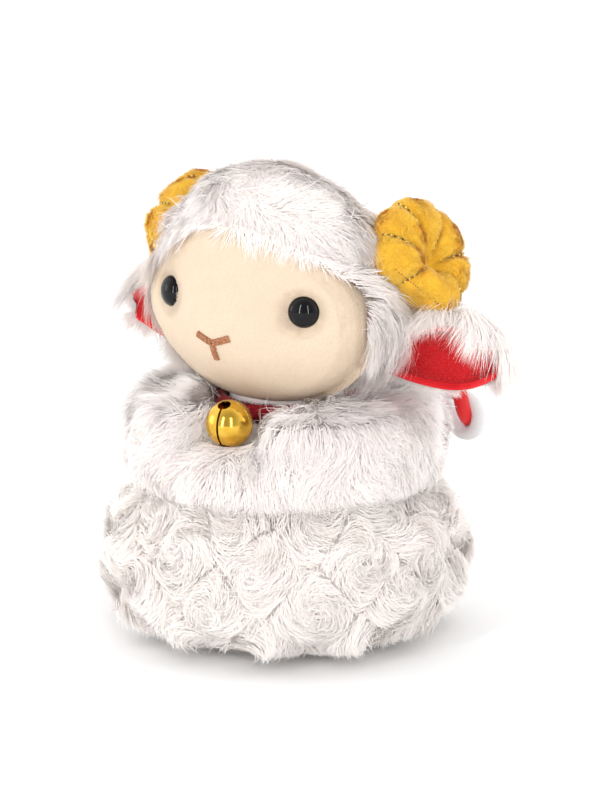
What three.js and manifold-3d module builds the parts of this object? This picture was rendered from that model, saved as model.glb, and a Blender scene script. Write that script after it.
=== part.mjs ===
// A plush sheep: a head with horns and ears on two stacked fur rolls, with a bell on its collar
// and a bow of twisted cord at its nape.
// Units are millimetres and +Z is up. The sheep faces -Y, and its own left side is +X.
// The origin is the middle of the base that it stands on.

import * as THREE from 'three';
import { mergeVertices } from 'three/addons/utils/BufferGeometryUtils.js';
import Module from 'manifold-3d';

const wasm = await Module();
wasm.setup();

const DEGREE = Math.PI / 180;

// Clearances and walls that all pieces share
const GAP = 0.3;
const STUFFING_GAP = 0.6;
const OVERRUN = 6;
const FUR_WALL = 2.2;
const VELOUR_WALL = 1.3;
const FACE_WALL = 2.2;

// Lower roll, which the sheep stands on
const LOWER_RADIUS = 56.5;
const LOWER_WIDEST_HEIGHT = 22;
const LOWER_CREST_RISE = 29;
const LOWER_TOP = LOWER_WIDEST_HEIGHT + LOWER_CREST_RISE;
const LOWER_FOOT_RADIUS = 33;
const LOWER_CREST_RADIUS = 34;

// Curls of the lower roll's pile: mounds in staggered rows, each row's mounds over the gaps of the next
const CURL_HEIGHT = 3.3;
const CURL_SINK = 1;
const CURL_FIRST_RISE = 9;
const CURL_ROW_SPACING = 12;
const CURL_FADE_DROP = 13;
const CURL_END_DROP = 6;
const CURL_COUNT = 12;

const BASE_PANEL_RADIUS = 28;
const BASE_PANEL_THICKNESS = 1.8;

// Upper roll, which sinks into the lower one
const UPPER_RADIUS = 49.5;
const UPPER_SINK = 6;
const UPPER_BELLY_RISE = 14;
const UPPER_CREST_RISE = 13;
const UPPER_BOTTOM = LOWER_TOP - UPPER_SINK;
const UPPER_WIDEST_HEIGHT = UPPER_BOTTOM + UPPER_BELLY_RISE;
const UPPER_TOP = UPPER_WIDEST_HEIGHT + UPPER_CREST_RISE;
const UPPER_FOOT_RADIUS = 41;
const UPPER_CREST_RADIUS = 40;
const UPPER_OPENING_RADIUS = 22;

// Hollow that the bell presses into the front of the upper roll
const CHEST_DROP = 6;
const CHEST_RADIUS = 22;
const CHEST_FLAT_ANGLE = 24 * DEGREE;
const CHEST_FADE_ANGLE = 50 * DEGREE;

// Neck
const NECK_RADIUS = 19.2;
const NECK_TOP_RADIUS = 16;
const NECK_RISE = 12;
const NECK_TOP = UPPER_TOP + NECK_RISE;
const NECK_LEAN = 6;
const NECK_OPENING_RADIUS = 9;

// Head, whose lift is its chin's height above the upper roll
const HEAD_LIFT = 5.5;
const HEAD_FORWARD = 11;
const HEAD_HALF_WIDTH = 45;
const HEAD_HALF_HEIGHT = 38;
const HEAD_CENTRE_HEIGHT = UPPER_TOP + HEAD_LIFT + HEAD_HALF_HEIGHT;
const HEAD_FRONT_DEPTH = 22;
const HEAD_BACK_DEPTH = 37;
const CROWN_TAPER_START = HEAD_CENTRE_HEIGHT - 13.5;
const CROWN_TAPER_END = HEAD_CENTRE_HEIGHT + 8.5;
const crownTaperShare = 0.16;

// Muzzle and eye hollows, which shape the front of the head
const MUZZLE_REACH = 6.5;
const MUZZLE_DROP = 15.5;
const MUZZLE_HEIGHT = HEAD_CENTRE_HEIGHT - MUZZLE_DROP;
const MUZZLE_HALF_WIDTH = 18;
const MUZZLE_HALF_HEIGHT = 15;
const EYE_HOLLOW_DEPTH = 4;
const EYE_HOLLOW_RADIUS = 8;
const reliefFadeShare = 0.3;

// Face panel
const FACE_SIDE_MARGIN = 2.5;
const FACE_TOP_MARGIN = 8;
const FACE_HALF_WIDTH = HEAD_HALF_WIDTH - FACE_SIDE_MARGIN;
const FACE_HALF_HEIGHT = HEAD_HALF_HEIGHT - FACE_TOP_MARGIN;
const FACE_DROP = 9.5;
const FACE_CENTRE_HEIGHT = HEAD_CENTRE_HEIGHT - FACE_DROP;
const FACE_BACK = 15;

// Safety eyes
const EYE_INSET = 19.3;
const EYE_SPACING = 2 * (HEAD_HALF_WIDTH - EYE_INSET);
const EYE_DROP = 4.1;
const EYE_HEIGHT = HEAD_CENTRE_HEIGHT - EYE_DROP;
const EYE_RADIUS = 5;
const EYE_DOME_HEIGHT = 4;
const EYE_RIM = 0.6;
const EYE_STEM_RADIUS = 1.5;
const EYE_STEM_LENGTH = 9;
const WASHER_RADIUS = 5.5;
const WASHER_THICKNESS = 1.2;
const WASHER_DEPTH = 4;

// Nose stitches
const NOSE_HEIGHT = MUZZLE_HEIGHT;
const NOSE_ARM_REACH = 6.1;
const NOSE_ARM_RISE = 1.3;
const NOSE_STEM_DROP = 5;
const NOSE_THREAD_WIDTH = 2.1;
const NOSE_THREAD_THICKNESS = 1;

// Horns, placed by the middle of their curl
const HORN_STAND_OFF = 3.6;
const HORN_RISE = 7.3;
const HORN_SIDE = HEAD_HALF_WIDTH + HORN_STAND_OFF;
const HORN_BACK = 6;
const HORN_HEIGHT = HEAD_CENTRE_HEIGHT + HORN_RISE;
const HORN_LEAN = 25 * DEGREE;
const HORN_TURN = 10 * DEGREE;
const HORN_HALF_WIDTH = 17;
const HORN_HALF_HEIGHT = 19;
const HORN_MIDDLE_SHIFT_BACK = 0.5;
const HORN_MIDDLE_SHIFT_UP = 3.4;
const HORN_OUTER_BULGE = 10;
const HORN_INNER_BULGE = 17;
const HORN_STITCH_ANGLES = [-55, -5, 52, 104, 150, 206].map((angle) => angle * DEGREE);
const HORN_STITCH_SPREAD = 11 * DEGREE;
const HORN_OPENING_RADIUS = 5;
const hornFullnessShare = 0.8;
const hornStitchDepthShare = 0.3;
const hornStitchNotchShare = 0.05;
const hornCurlDepthShare = 0.8;
const hornCurlSpreadShare = 0.36;
const hornChordShare = 0.74;
const HORN_CHORD_ANGLE = 228 * DEGREE;

// Ears, folded lengthwise, with the fold's hollow facing forward
const EAR_ROOT_INSET = 7;
const EAR_DROP = 21;
const EAR_ROOT_SIDE = HEAD_HALF_WIDTH - EAR_ROOT_INSET;
const EAR_ROOT_BACK = 5;
const EAR_ROOT_HEIGHT = HEAD_CENTRE_HEIGHT - EAR_DROP;
const EAR_LENGTH = 34;
const EAR_DROOP = 1 * DEGREE;
const EAR_SWEEP = 5 * DEGREE;
const EAR_HALF_WIDTH = 14;
const EAR_ROOT_HALF_WIDTH = 9;
const EAR_TIP_HALF_WIDTH = 4.5;
const EAR_WALL = 2;
const EAR_LINING_WALL = 1.2;
const EAR_FOLD_ROOT = 205 * DEGREE;
const EAR_FOLD_TIP = 115 * DEGREE;
const EAR_FOLD_FACING = 12 * DEGREE;
const EAR_HINGE_OUT = 0.6;
const EAR_HINGE_SIDE = EAR_ROOT_SIDE + EAR_HINGE_OUT;
const EAR_RAISED = -5 * DEGREE;
const EAR_LOWERED = 25 * DEGREE;
const earWidestShare = 0.55;

// Collar
const COLLAR_THICKNESS = 3.5;
const COLLAR_INNER_RADIUS = NECK_RADIUS + GAP;
const COLLAR_OUTER_RADIUS = COLLAR_INNER_RADIUS + COLLAR_THICKNESS;
const COLLAR_HEIGHT = 5.5;

// Bell, hung by a ring from a staple on the collar's front
const BELL_RADIUS = 7.5;
const BELL_WALL = 0.5;
const BELL_TURN = 8 * DEGREE;
const BELL_SEAM = 0.1;
const BELL_SLOT_WIDTH = 0.7;
const BELL_SLOT_HALF_ANGLE = 65 * DEGREE;
const BELL_HOLE_RADIUS = 2.1;
const BELL_RIVET_RADIUS = 0.7;
const BELL_RIVET_HEAD_RADIUS = 1.5;
const BELL_RIVET_HEAD_THICKNESS = 0.4;
const WIRE_RADIUS = 0.35;
const BELL_LOOP_RADIUS = 1.5;
const BELL_RING_RADIUS = 1.6;
const STAPLE_HALF_HEIGHT = 2.2;
const PELLET_RADIUS = 1.8;

// Bow of twisted cord, whose loops lie over the back of the upper roll
const CORD_DIAMETER = 9;
const KNOT_HALF_WIDTH = 9;
const KNOT_HALF_DEPTH = 6.6;
const KNOT_HALF_HEIGHT = 6;

// Route of the cord's left loop, out over the shoulder and back to the knot
const bowRoute = [
  [9.4, 27.6, 78.4],
  [14.6, 29.8, 80.2],
  [20.6, 34.2, 80.8],
  [26.2, 39.8, 79.6],
  [30.8, 45, 76.2],
  [34.8, 49.2, 71.4],
  [37.4, 51.8, 66],
  [36.8, 53.8, 61.4],
  [32.6, 55.8, 59],
  [27, 57, 59.6],
  [22.4, 56.8, 62.8],
  [18.6, 55.4, 67.4],
  [15, 52.6, 72],
  [11.4, 48.6, 75.4],
  [7.8, 43.4, 77.2],
  [5.4, 37.2, 77.2],
];

// Counts of the steps that round shapes are divided into
const BODY_STEPS = 30;
const INNER_STEPS = 18;
const HEAD_RINGS = 14;
const INNER_HEAD_RINGS = 9;
const SMALL_STEPS = 12;
const SMALL_RINGS = 8;
const ARC_STEPS = 5;
const CURL_ARC_STEPS = 7;
const CURL_STEPS = 6 * CURL_COUNT;
const FACE_SEGMENTS = 9;
const NOSE_SPANS = 4;
const NOSE_SIDES = 8;
const HORN_RINGS = 8;
const HORN_STEPS = 36;
const INNER_HORN_RINGS = 5;
const INNER_HORN_STEPS = 16;
const EAR_LENGTH_STEPS = 9;
const EAR_WIDTH_STEPS = 8;
const COLLAR_SIDES = 8;
const BELL_ARC_STEPS = 5;
const WIRE_SIDES = 6;
const STAPLE_POINTS = 12;
const STAPLE_STEPS = 16;
const CORD_SIDES = 10;
const CORD_STEPS = 28;

const FUR_FINISH = { color: 0xf7f0ec, roughness: 0.95, metalness: 0 };
const FILLING_FINISH = { color: 0xf4f4f0, roughness: 1, metalness: 0 };
const FACE_FINISH = { color: 0xfdeed4, roughness: 0.9, metalness: 0 };
const HORN_FINISH = { color: 0xe8a92b, roughness: 0.9, metalness: 0 };
const LINING_FINISH = { color: 0xd01a26, roughness: 0.9, metalness: 0 };
const COLLAR_FINISH = { color: 0xa5121f, roughness: 0.9, metalness: 0 };
const CORD_FINISH = { color: 0xe01018, roughness: 0.5, metalness: 0 };
const BROWN_THREAD_FINISH = { color: 0xb5764c, roughness: 0.6, metalness: 0 };
const RED_THREAD_FINISH = { color: 0x8f1420, roughness: 0.7, metalness: 0 };
const BLACK_PLASTIC_FINISH = { color: 0x141416, roughness: 0.12, metalness: 0 };
const WHITE_PLASTIC_FINISH = { color: 0xe6e6e2, roughness: 0.5, metalness: 0 };
const BRASS_FINISH = { color: 0xd9a93a, roughness: 0.25, metalness: 1 };
const STEEL_FINISH = { color: 0x777a80, roughness: 0.35, metalness: 1 };

function blend(from, to, share) {
  return from + (to - from) * share;
}

function smooth(from, to, value) {
  return THREE.MathUtils.smoothstep(value, from, to);
}

// A closed surface round an axis, with one point at each pole and rings of points between them
function closedForm(pointAt, rings, steps) {
  const points = [pointAt(0, 0)];
  for (let ring = 1; ring < rings; ring += 1) {
    for (let step = 0; step < steps; step += 1) {
      points.push(pointAt(ring / rings, step / steps));
    }
  }
  points.push(pointAt(1, 0));
  const last = points.length - 1;
  const faces = [];
  for (let step = 0; step < steps; step += 1) {
    const next = (step + 1) % steps;
    faces.push(0, 1 + step, 1 + next);
    for (let ring = 1; ring < rings - 1; ring += 1) {
      const upper = 1 + (ring - 1) * steps;
      const lower = upper + steps;
      faces.push(upper + step, lower + step, lower + next);
      faces.push(upper + step, lower + next, upper + next);
    }
    faces.push(last, last - steps + next, last - steps + step);
  }
  const geometry = new THREE.BufferGeometry().setFromPoints(points);
  geometry.setIndex(faces);
  return geometry;
}

// A solid of revolution about Z, from an outline of radius and height pairs
function revolved(outline, steps) {
  const points = outline.map(([radius, height]) => new THREE.Vector2(radius, height));
  return new THREE.LatheGeometry(points, steps).rotateX(Math.PI / 2);
}

function cylinder(radius, bottom, top, steps) {
  return revolved([[0, bottom], [radius, bottom], [radius, top], [0, top]], steps);
}

function ellipsoid(halfWidth, halfDepth, halfHeight, rings, steps) {
  return closedForm((down, turn) => {
    const polar = Math.PI * down;
    const angle = 2 * Math.PI * turn;
    return new THREE.Vector3(
      halfWidth * Math.sin(polar) * Math.cos(angle),
      halfDepth * Math.sin(polar) * Math.sin(angle),
      halfHeight * Math.cos(polar),
    );
  }, rings, steps);
}

// A tube of round section along a curve; its ends are square to the curve
function tube(curve, radius, sides, steps) {
  const section = new THREE.Shape();
  for (let side = 0; side < sides; side += 1) {
    const angle = (2 * Math.PI * side) / sides;
    const x = radius * Math.cos(angle);
    const y = radius * Math.sin(angle);
    if (side === 0) {
      section.moveTo(x, y);
    } else {
      section.lineTo(x, y);
    }
  }
  section.closePath();
  return new THREE.ExtrudeGeometry(section, { steps, extrudePath: curve, bevelEnabled: false });
}

function solidOf(geometry) {
  const bare = geometry.clone();
  bare.deleteAttribute('normal');
  bare.deleteAttribute('uv');
  const merged = mergeVertices(bare);
  const index = merged.index.array;
  const faces = [];
  for (let face = 0; face < index.length; face += 3) {
    const [a, b, c] = index.slice(face, face + 3);
    if (a !== b && b !== c && c !== a) {
      faces.push(a, b, c);
    }
  }
  return new wasm.Manifold(new wasm.Mesh({
    numProp: 3,
    vertProperties: new Float32Array(merged.attributes.position.array),
    triVerts: new Uint32Array(faces),
  }));
}

function geometryOf(solid) {
  const mesh = solid.getMesh();
  const geometry = new THREE.BufferGeometry();
  geometry.setAttribute('position', new THREE.BufferAttribute(mesh.vertProperties, 3));
  geometry.setIndex(new THREE.BufferAttribute(mesh.triVerts, 1));
  return geometry;
}

function cutFrom(solid, ...cutters) {
  return cutters.reduce((rest, cutter) => rest.subtract(cutter), solid);
}

function mirrored(geometry) {
  const copy = geometry.clone().scale(-1, 1, 1);
  const plain = copy.index ? copy : mergeVertices(copy);
  const index = plain.index.array;
  for (let face = 0; face < index.length; face += 3) {
    [index[face], index[face + 1]] = [index[face + 1], index[face]];
  }
  return plain;
}

// Outline of a roll: an arc out from its foot to its widest ring, and an arc in to its crest
function rollOutline(roll, inset, arcSteps = ARC_STEPS) {
  const foot = roll.footRadius - inset;
  const widest = roll.radius - inset;
  const crest = roll.crestRadius - inset;
  const bottom = roll.bottom + inset;
  const top = roll.top - inset;
  const outline = [[0, bottom]];
  for (let step = 0; step <= arcSteps; step += 1) {
    const angle = (Math.PI / 2) * (step / arcSteps);
    outline.push([
      blend(foot, widest, Math.sin(angle)),
      blend(bottom, roll.widestHeight, 1 - Math.cos(angle)),
    ]);
  }
  for (let step = 1; step <= arcSteps; step += 1) {
    const angle = (Math.PI / 2) * (step / arcSteps);
    outline.push([
      blend(crest, widest, Math.cos(angle)),
      blend(roll.widestHeight, top, Math.sin(angle)),
    ]);
  }
  outline.push([0, top]);
  return outline;
}

const lowerRoll = {
  footRadius: LOWER_FOOT_RADIUS,
  radius: LOWER_RADIUS,
  crestRadius: LOWER_CREST_RADIUS,
  bottom: 0,
  widestHeight: LOWER_WIDEST_HEIGHT,
  top: LOWER_TOP,
};

const upperRoll = {
  footRadius: UPPER_FOOT_RADIUS,
  radius: UPPER_RADIUS,
  crestRadius: UPPER_CREST_RADIUS,
  bottom: UPPER_BOTTOM,
  widestHeight: UPPER_WIDEST_HEIGHT,
  top: UPPER_TOP,
};

function lowerForm(inset, steps, arcSteps) {
  return solidOf(revolved(rollOutline(lowerRoll, inset, arcSteps), steps));
}

// How far the curls lift a point of the lower roll's skin, or sink it between them
function curlRelief(x, y, z) {
  const around = Math.cos(CURL_COUNT * Math.atan2(y, x));
  const rows = Math.cos((Math.PI * (z - CURL_FIRST_RISE)) / CURL_ROW_SPACING);
  const middle = CURL_HEIGHT / 2 - CURL_SINK;
  const lowShare = smooth(0, CURL_FIRST_RISE, z);
  const highShare = 1 - smooth(LOWER_TOP - CURL_FADE_DROP, LOWER_TOP - CURL_END_DROP, z);
  return (middle + (CURL_HEIGHT / 2) * around * rows) * lowShare * highShare;
}

// The lower roll with its curls, each point moved square to the roll's outline
function curledLowerForm() {
  const geometry = revolved(rollOutline(lowerRoll, 0, CURL_ARC_STEPS), CURL_STEPS);
  const place = geometry.attributes.position;
  for (let index = 0; index < place.count; index += 1) {
    const [x, y, z] = [place.getX(index), place.getY(index), place.getZ(index)];
    const radius = Math.hypot(x, y);
    const isHigh = z > LOWER_WIDEST_HEIGHT;
    const arcMiddle = isHigh ? LOWER_CREST_RADIUS : LOWER_FOOT_RADIUS;
    const arcRise = isHigh ? LOWER_CREST_RISE : LOWER_WIDEST_HEIGHT;
    if (radius > arcMiddle) {
      const out = (radius - arcMiddle) / (LOWER_RADIUS - arcMiddle) ** 2;
      const up = (z - LOWER_WIDEST_HEIGHT) / arcRise ** 2;
      const lift = curlRelief(x, y, z) / Math.hypot(out, up);
      const reach = 1 + (lift * out) / radius;
      place.setXYZ(index, x * reach, y * reach, z + lift * up);
    }
  }
  return solidOf(geometry);
}

// How far the chest is pressed down at a point of the upper roll, most right under the bell
function chestDrop(x, y, z) {
  const angle = Math.abs(Math.atan2(x, -y) - BELL_TURN);
  const aroundShare = 1 - smooth(CHEST_FLAT_ANGLE, CHEST_FADE_ANGLE, angle);
  const outShare = Math.min(1, Math.hypot(x, y) / CHEST_RADIUS);
  const upShare = smooth(UPPER_WIDEST_HEIGHT, UPPER_TOP, z);
  return CHEST_DROP * aroundShare * outShare * upShare;
}

// The neck rises straight through the collar and then leans forward under the head
function neckForm(inset) {
  const levels = [
    { height: NECK_TOP - inset, radius: NECK_TOP_RADIUS - inset, lean: NECK_LEAN },
    { height: UPPER_TOP + GAP + COLLAR_HEIGHT, radius: NECK_RADIUS - inset, lean: 0 },
    { height: UPPER_TOP - OVERRUN, radius: NECK_RADIUS - inset, lean: 0 },
  ];
  return solidOf(closedForm((down, turn) => {
    const level = levels[Math.round(THREE.MathUtils.clamp(4 * down - 1, 0, 2))];
    const radius = down === 0 || down === 1 ? 0 : level.radius;
    const angle = 2 * Math.PI * turn;
    return new THREE.Vector3(
      radius * Math.cos(angle),
      radius * Math.sin(angle) - level.lean,
      level.height,
    );
  }, 4, INNER_STEPS));
}

function upperForm(inset, steps) {
  const geometry = revolved(rollOutline(upperRoll, inset), steps);
  const place = geometry.attributes.position;
  for (let index = 0; index < place.count; index += 1) {
    const [x, y, z] = [place.getX(index), place.getY(index), place.getZ(index)];
    place.setZ(index, z - chestDrop(x, y, z));
  }
  return solidOf(geometry).add(neckForm(inset));
}

// How far the face stands out beyond the plain oval of the head
function faceRelief(x, z) {
  const muzzle = (x / MUZZLE_HALF_WIDTH) ** 2 + ((z - MUZZLE_HEIGHT) / MUZZLE_HALF_HEIGHT) ** 2;
  const sideways = Math.abs(x) - EYE_SPACING / 2;
  const hollow = (sideways ** 2 + (z - EYE_HEIGHT) ** 2) / EYE_HOLLOW_RADIUS ** 2;
  return MUZZLE_REACH * Math.exp(-muzzle) - EYE_HOLLOW_DEPTH * Math.exp(-hollow);
}

// Place of the head's skin; back runs from -1 at the tip of the oval's front to 1 at its back
function headDepth(x, z, back, inset) {
  if (back >= 0) {
    return (HEAD_BACK_DEPTH - inset) * back - HEAD_FORWARD;
  }
  const reliefShare = Math.min(1, -back / reliefFadeShare);
  return (HEAD_FRONT_DEPTH - inset) * back - HEAD_FORWARD - faceRelief(x, z) * reliefShare;
}

// Share of the head's full width at a height: the crown is narrower than the cheeks
function widthShare(z) {
  return 1 - crownTaperShare * smooth(CROWN_TAPER_START, CROWN_TAPER_END, z);
}

function headForm(inset, rings, steps) {
  return solidOf(closedForm((down, turn) => {
    const polar = Math.PI * down;
    const angle = 2 * Math.PI * turn;
    const z = HEAD_CENTRE_HEIGHT + (HEAD_HALF_HEIGHT - inset) * Math.cos(polar);
    const halfWidth = (HEAD_HALF_WIDTH - inset) * widthShare(z);
    const x = halfWidth * Math.sin(polar) * Math.cos(angle);
    return new THREE.Vector3(x, headDepth(x, z, Math.sin(polar) * Math.sin(angle), inset), z);
  }, rings, steps));
}

// Point of the face's outer surface straight in front of a place on the head
function facePoint(x, z) {
  const across = x / (HEAD_HALF_WIDTH * widthShare(z));
  const up = (z - HEAD_CENTRE_HEIGHT) / HEAD_HALF_HEIGHT;
  const back = -Math.sqrt(1 - across ** 2 - up ** 2);
  return new THREE.Vector3(x, headDepth(x, z, back, 0), z);
}

function faceNormal(x, z) {
  const step = GAP;
  const across = facePoint(x + step, z).sub(facePoint(x - step, z));
  const up = facePoint(x, z + step).sub(facePoint(x, z - step));
  return across.cross(up).normalize();
}

function faceWindow(clearance) {
  const outline = new THREE.Shape();
  const halfWidth = FACE_HALF_WIDTH + clearance;
  const halfHeight = FACE_HALF_HEIGHT + clearance;
  outline.absellipse(0, FACE_CENTRE_HEIGHT, halfWidth, halfHeight, 0, 2 * Math.PI);
  const depth = HEAD_FORWARD + HEAD_FRONT_DEPTH + MUZZLE_REACH + OVERRUN;
  const prism = new THREE.ExtrudeGeometry(outline, {
    depth,
    bevelEnabled: false,
    curveSegments: FACE_SEGMENTS,
  });
  prism.rotateX(Math.PI / 2);
  return solidOf(prism.translate(0, clearance - FACE_BACK, 0));
}

// Turns a shape made along +Z so that it points out of the face at an eye
function seatedAtEye(geometry, side) {
  const x = (side * EYE_SPACING) / 2;
  const normal = faceNormal(x, EYE_HEIGHT);
  const turn = new THREE.Quaternion().setFromUnitVectors(new THREE.Vector3(0, 0, 1), normal);
  const place = facePoint(x, EYE_HEIGHT).addScaledVector(normal, GAP);
  return geometry.applyQuaternion(turn).translate(place.x, place.y, place.z);
}

function eyeGeometry(side, clearance) {
  const outline = [
    [0, -EYE_STEM_LENGTH - clearance],
    [EYE_STEM_RADIUS + clearance, -EYE_STEM_LENGTH - clearance],
    [EYE_STEM_RADIUS + clearance, -clearance],
    [EYE_RADIUS + clearance, -clearance],
  ];
  for (let step = 0; step <= ARC_STEPS; step += 1) {
    const angle = (Math.PI / 2) * (step / ARC_STEPS);
    outline.push([
      (EYE_RADIUS + clearance) * Math.cos(angle),
      EYE_RIM + (EYE_DOME_HEIGHT - EYE_RIM + clearance) * Math.sin(angle),
    ]);
  }
  outline[outline.length - 1][0] = 0;
  return seatedAtEye(revolved(outline, INNER_STEPS), side);
}

function washerGeometry(side, clearance) {
  const inner = EYE_STEM_RADIUS + GAP;
  const outer = WASHER_RADIUS + clearance;
  const front = clearance - WASHER_DEPTH;
  const back = -WASHER_DEPTH - WASHER_THICKNESS - clearance;
  const outline = clearance > 0
    ? [[0, back], [outer, back], [outer, front], [0, front]]
    : [[inner, back], [outer, back], [outer, front], [inner, front], [inner, back]];
  return seatedAtEye(revolved(outline, SMALL_STEPS), side);
}

// A bar of satin stitches lying on the face between two places
function noseBar(fromX, fromZ, toX, toZ) {
  const along = new THREE.Vector3(toX - fromX, 0, toZ - fromZ).normalize();
  const points = [];
  for (let span = 0; span <= NOSE_SPANS; span += 1) {
    const x = blend(fromX, toX, span / NOSE_SPANS);
    const z = blend(fromZ, toZ, span / NOSE_SPANS);
    const out = faceNormal(x, z);
    const across = new THREE.Vector3().crossVectors(out, along).normalize();
    const middle = facePoint(x, z).addScaledVector(out, NOSE_THREAD_THICKNESS / 2);
    const isEnd = span === 0 || span === NOSE_SPANS;
    const halfWidth = (isEnd ? NOSE_THREAD_WIDTH / 2 : NOSE_THREAD_WIDTH) / 2;
    for (let side = 0; side < NOSE_SIDES; side += 1) {
      const angle = (2 * Math.PI * side) / NOSE_SIDES;
      points.push(middle.clone()
        .addScaledVector(across, halfWidth * Math.cos(angle))
        .addScaledVector(out, (NOSE_THREAD_THICKNESS / 2) * Math.sin(angle)));
    }
  }
  return sweptGeometry(points, NOSE_SPANS + 1, NOSE_SIDES);
}

// A closed body from rings of points that follow each other; each end is closed straight across
function sweptGeometry(points, rings, sides) {
  const faces = [];
  for (let ring = 0; ring < rings - 1; ring += 1) {
    for (let side = 0; side < sides; side += 1) {
      const next = (side + 1) % sides;
      const here = ring * sides;
      const there = here + sides;
      faces.push(here + side, here + next, there + next);
      faces.push(here + side, there + next, there + side);
    }
  }
  const end = (rings - 1) * sides;
  for (let side = 0; side < sides / 2 - 1; side += 1) {
    const across = sides - 1 - side;
    faces.push(side, across - 1, side + 1, side, across, across - 1);
    faces.push(end + side, end + side + 1, end + across - 1, end + side, end + across - 1, end + across);
  }
  const geometry = new THREE.BufferGeometry().setFromPoints(points);
  geometry.setIndex(faces);
  return geometry;
}

// A curled horn: a padded oval, drawn in at its middle and along its radial stitches
function hornForm(inset, rings, steps) {
  const middleUp = HORN_MIDDLE_SHIFT_UP;
  const middleBack = HORN_MIDDLE_SHIFT_BACK;
  const geometry = closedForm((down, turn) => {
    const polar = Math.PI * down;
    const angle = 2 * Math.PI * turn;
    let stitched = 0;
    for (const stitch of HORN_STITCH_ANGLES) {
      const away = Math.atan2(Math.sin(angle - stitch), Math.cos(angle - stitch));
      stitched = Math.max(stitched, Math.exp(-((away / HORN_STITCH_SPREAD) ** 2)));
    }
    const towardsChord = Math.max(Math.cos(angle - HORN_CHORD_ANGLE), hornChordShare);
    const notch = (1 - hornStitchNotchShare * stitched) * (hornChordShare / towardsChord);
    const out = Math.sin(polar) ** hornFullnessShare;
    const back = out * ((HORN_HALF_WIDTH - inset) * Math.cos(angle) * notch + middleBack);
    const up = out * ((HORN_HALF_HEIGHT - inset) * Math.sin(angle) * notch + middleUp);
    const isOuter = down <= 0.5;
    const bulge = (isOuter ? HORN_OUTER_BULGE : HORN_INNER_BULGE) - inset;
    const curl = isOuter ? hornCurlDepthShare * Math.exp(-((out / hornCurlSpreadShare) ** 2)) : 0;
    const quilted = 1 - hornStitchDepthShare * stitched * Math.min(1, out / hornCurlSpreadShare);
    return new THREE.Vector3(back, up, bulge * Math.cos(polar) * (1 - curl) * quilted);
  }, rings, steps);
  geometry.applyMatrix4(hornFrame());
  return solidOf(geometry);
}

// Frame of the left horn: back along the head, up along the horn, and out of its face
function hornFrame() {
  const [leanCos, leanSin] = [Math.cos(HORN_LEAN), Math.sin(HORN_LEAN)];
  const [turnCos, turnSin] = [Math.cos(HORN_TURN), Math.sin(HORN_TURN)];
  const back = new THREE.Vector3(turnSin, turnCos, 0);
  const up = new THREE.Vector3(-leanSin * turnCos, leanSin * turnSin, leanCos);
  const out = new THREE.Vector3(leanCos * turnCos, -leanCos * turnSin, leanSin);
  return new THREE.Matrix4().makeBasis(back, up, out).setPosition(HORN_SIDE, HORN_BACK, HORN_HEIGHT);
}

function hornOpening() {
  const depth = HORN_INNER_BULGE + OVERRUN;
  const hole = cylinder(HORN_OPENING_RADIUS, -depth, -VELOUR_WALL, SMALL_STEPS);
  return solidOf(hole.applyMatrix4(hornFrame()));
}

// Half the width of the ear's cloth, measured along its fold
function earHalfWidth(along) {
  if (along < earWidestShare) {
    return blend(EAR_ROOT_HALF_WIDTH, EAR_HALF_WIDTH, Math.sin((Math.PI / 2) * (along / earWidestShare)));
  }
  const share = (along - earWidestShare) / (1 - earWidestShare);
  return blend(EAR_TIP_HALF_WIDTH, EAR_HALF_WIDTH, Math.cos((Math.PI / 2) * share));
}

// A layer of the left ear between two distances from the middle of its cloth
function earLayer(inner, outer) {
  const direction = new THREE.Vector3(
    Math.cos(EAR_DROOP) * Math.cos(EAR_SWEEP),
    Math.cos(EAR_DROOP) * Math.sin(EAR_SWEEP),
    -Math.sin(EAR_DROOP),
  );
  const root = new THREE.Vector3(EAR_ROOT_SIDE - OVERRUN, EAR_ROOT_BACK, EAR_ROOT_HEIGHT);
  const length = EAR_LENGTH + OVERRUN;
  const points = [];
  for (let step = 0; step <= EAR_LENGTH_STEPS; step += 1) {
    const along = step / EAR_LENGTH_STEPS;
    const fold = blend(EAR_FOLD_ROOT, EAR_FOLD_TIP, along);
    const radius = (2 * earHalfWidth(along)) / fold;
    const middle = root.clone().addScaledVector(direction, length * along);
    for (const [offset, backward] of [[outer, false], [inner, true]]) {
      for (let side = 0; side <= EAR_WIDTH_STEPS; side += 1) {
        const share = backward ? 1 - side / EAR_WIDTH_STEPS : side / EAR_WIDTH_STEPS;
        const angle = EAR_FOLD_FACING + fold * (share - 0.5);
        const reach = radius + offset;
        points.push(new THREE.Vector3(0, reach * Math.cos(angle), reach * Math.sin(angle)).add(middle));
      }
    }
  }
  return solidOf(sweptGeometry(points, EAR_LENGTH_STEPS + 1, 2 * (EAR_WIDTH_STEPS + 1)));
}

// The head as the left ear sees it when the ear is turned on its hinge by an angle
function headSeenByEar(angle) {
  const toHinge = new THREE.Matrix4().makeTranslation(-EAR_HINGE_SIDE, -EAR_ROOT_BACK, -EAR_ROOT_HEIGHT);
  const turn = new THREE.Matrix4().makeRotationY(-angle);
  const fromHinge = new THREE.Matrix4().makeTranslation(EAR_HINGE_SIDE, EAR_ROOT_BACK, EAR_ROOT_HEIGHT);
  const geometry = geometryOf(headForm(-GAP, HEAD_RINGS, BODY_STEPS));
  geometry.applyMatrix4(fromHinge.multiply(turn).multiply(toHinge));
  return solidOf(geometry);
}

function earClearance() {
  const middle = EAR_LOWERED / 2;
  return [EAR_RAISED, 0, middle, EAR_LOWERED].map(headSeenByEar);
}

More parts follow.
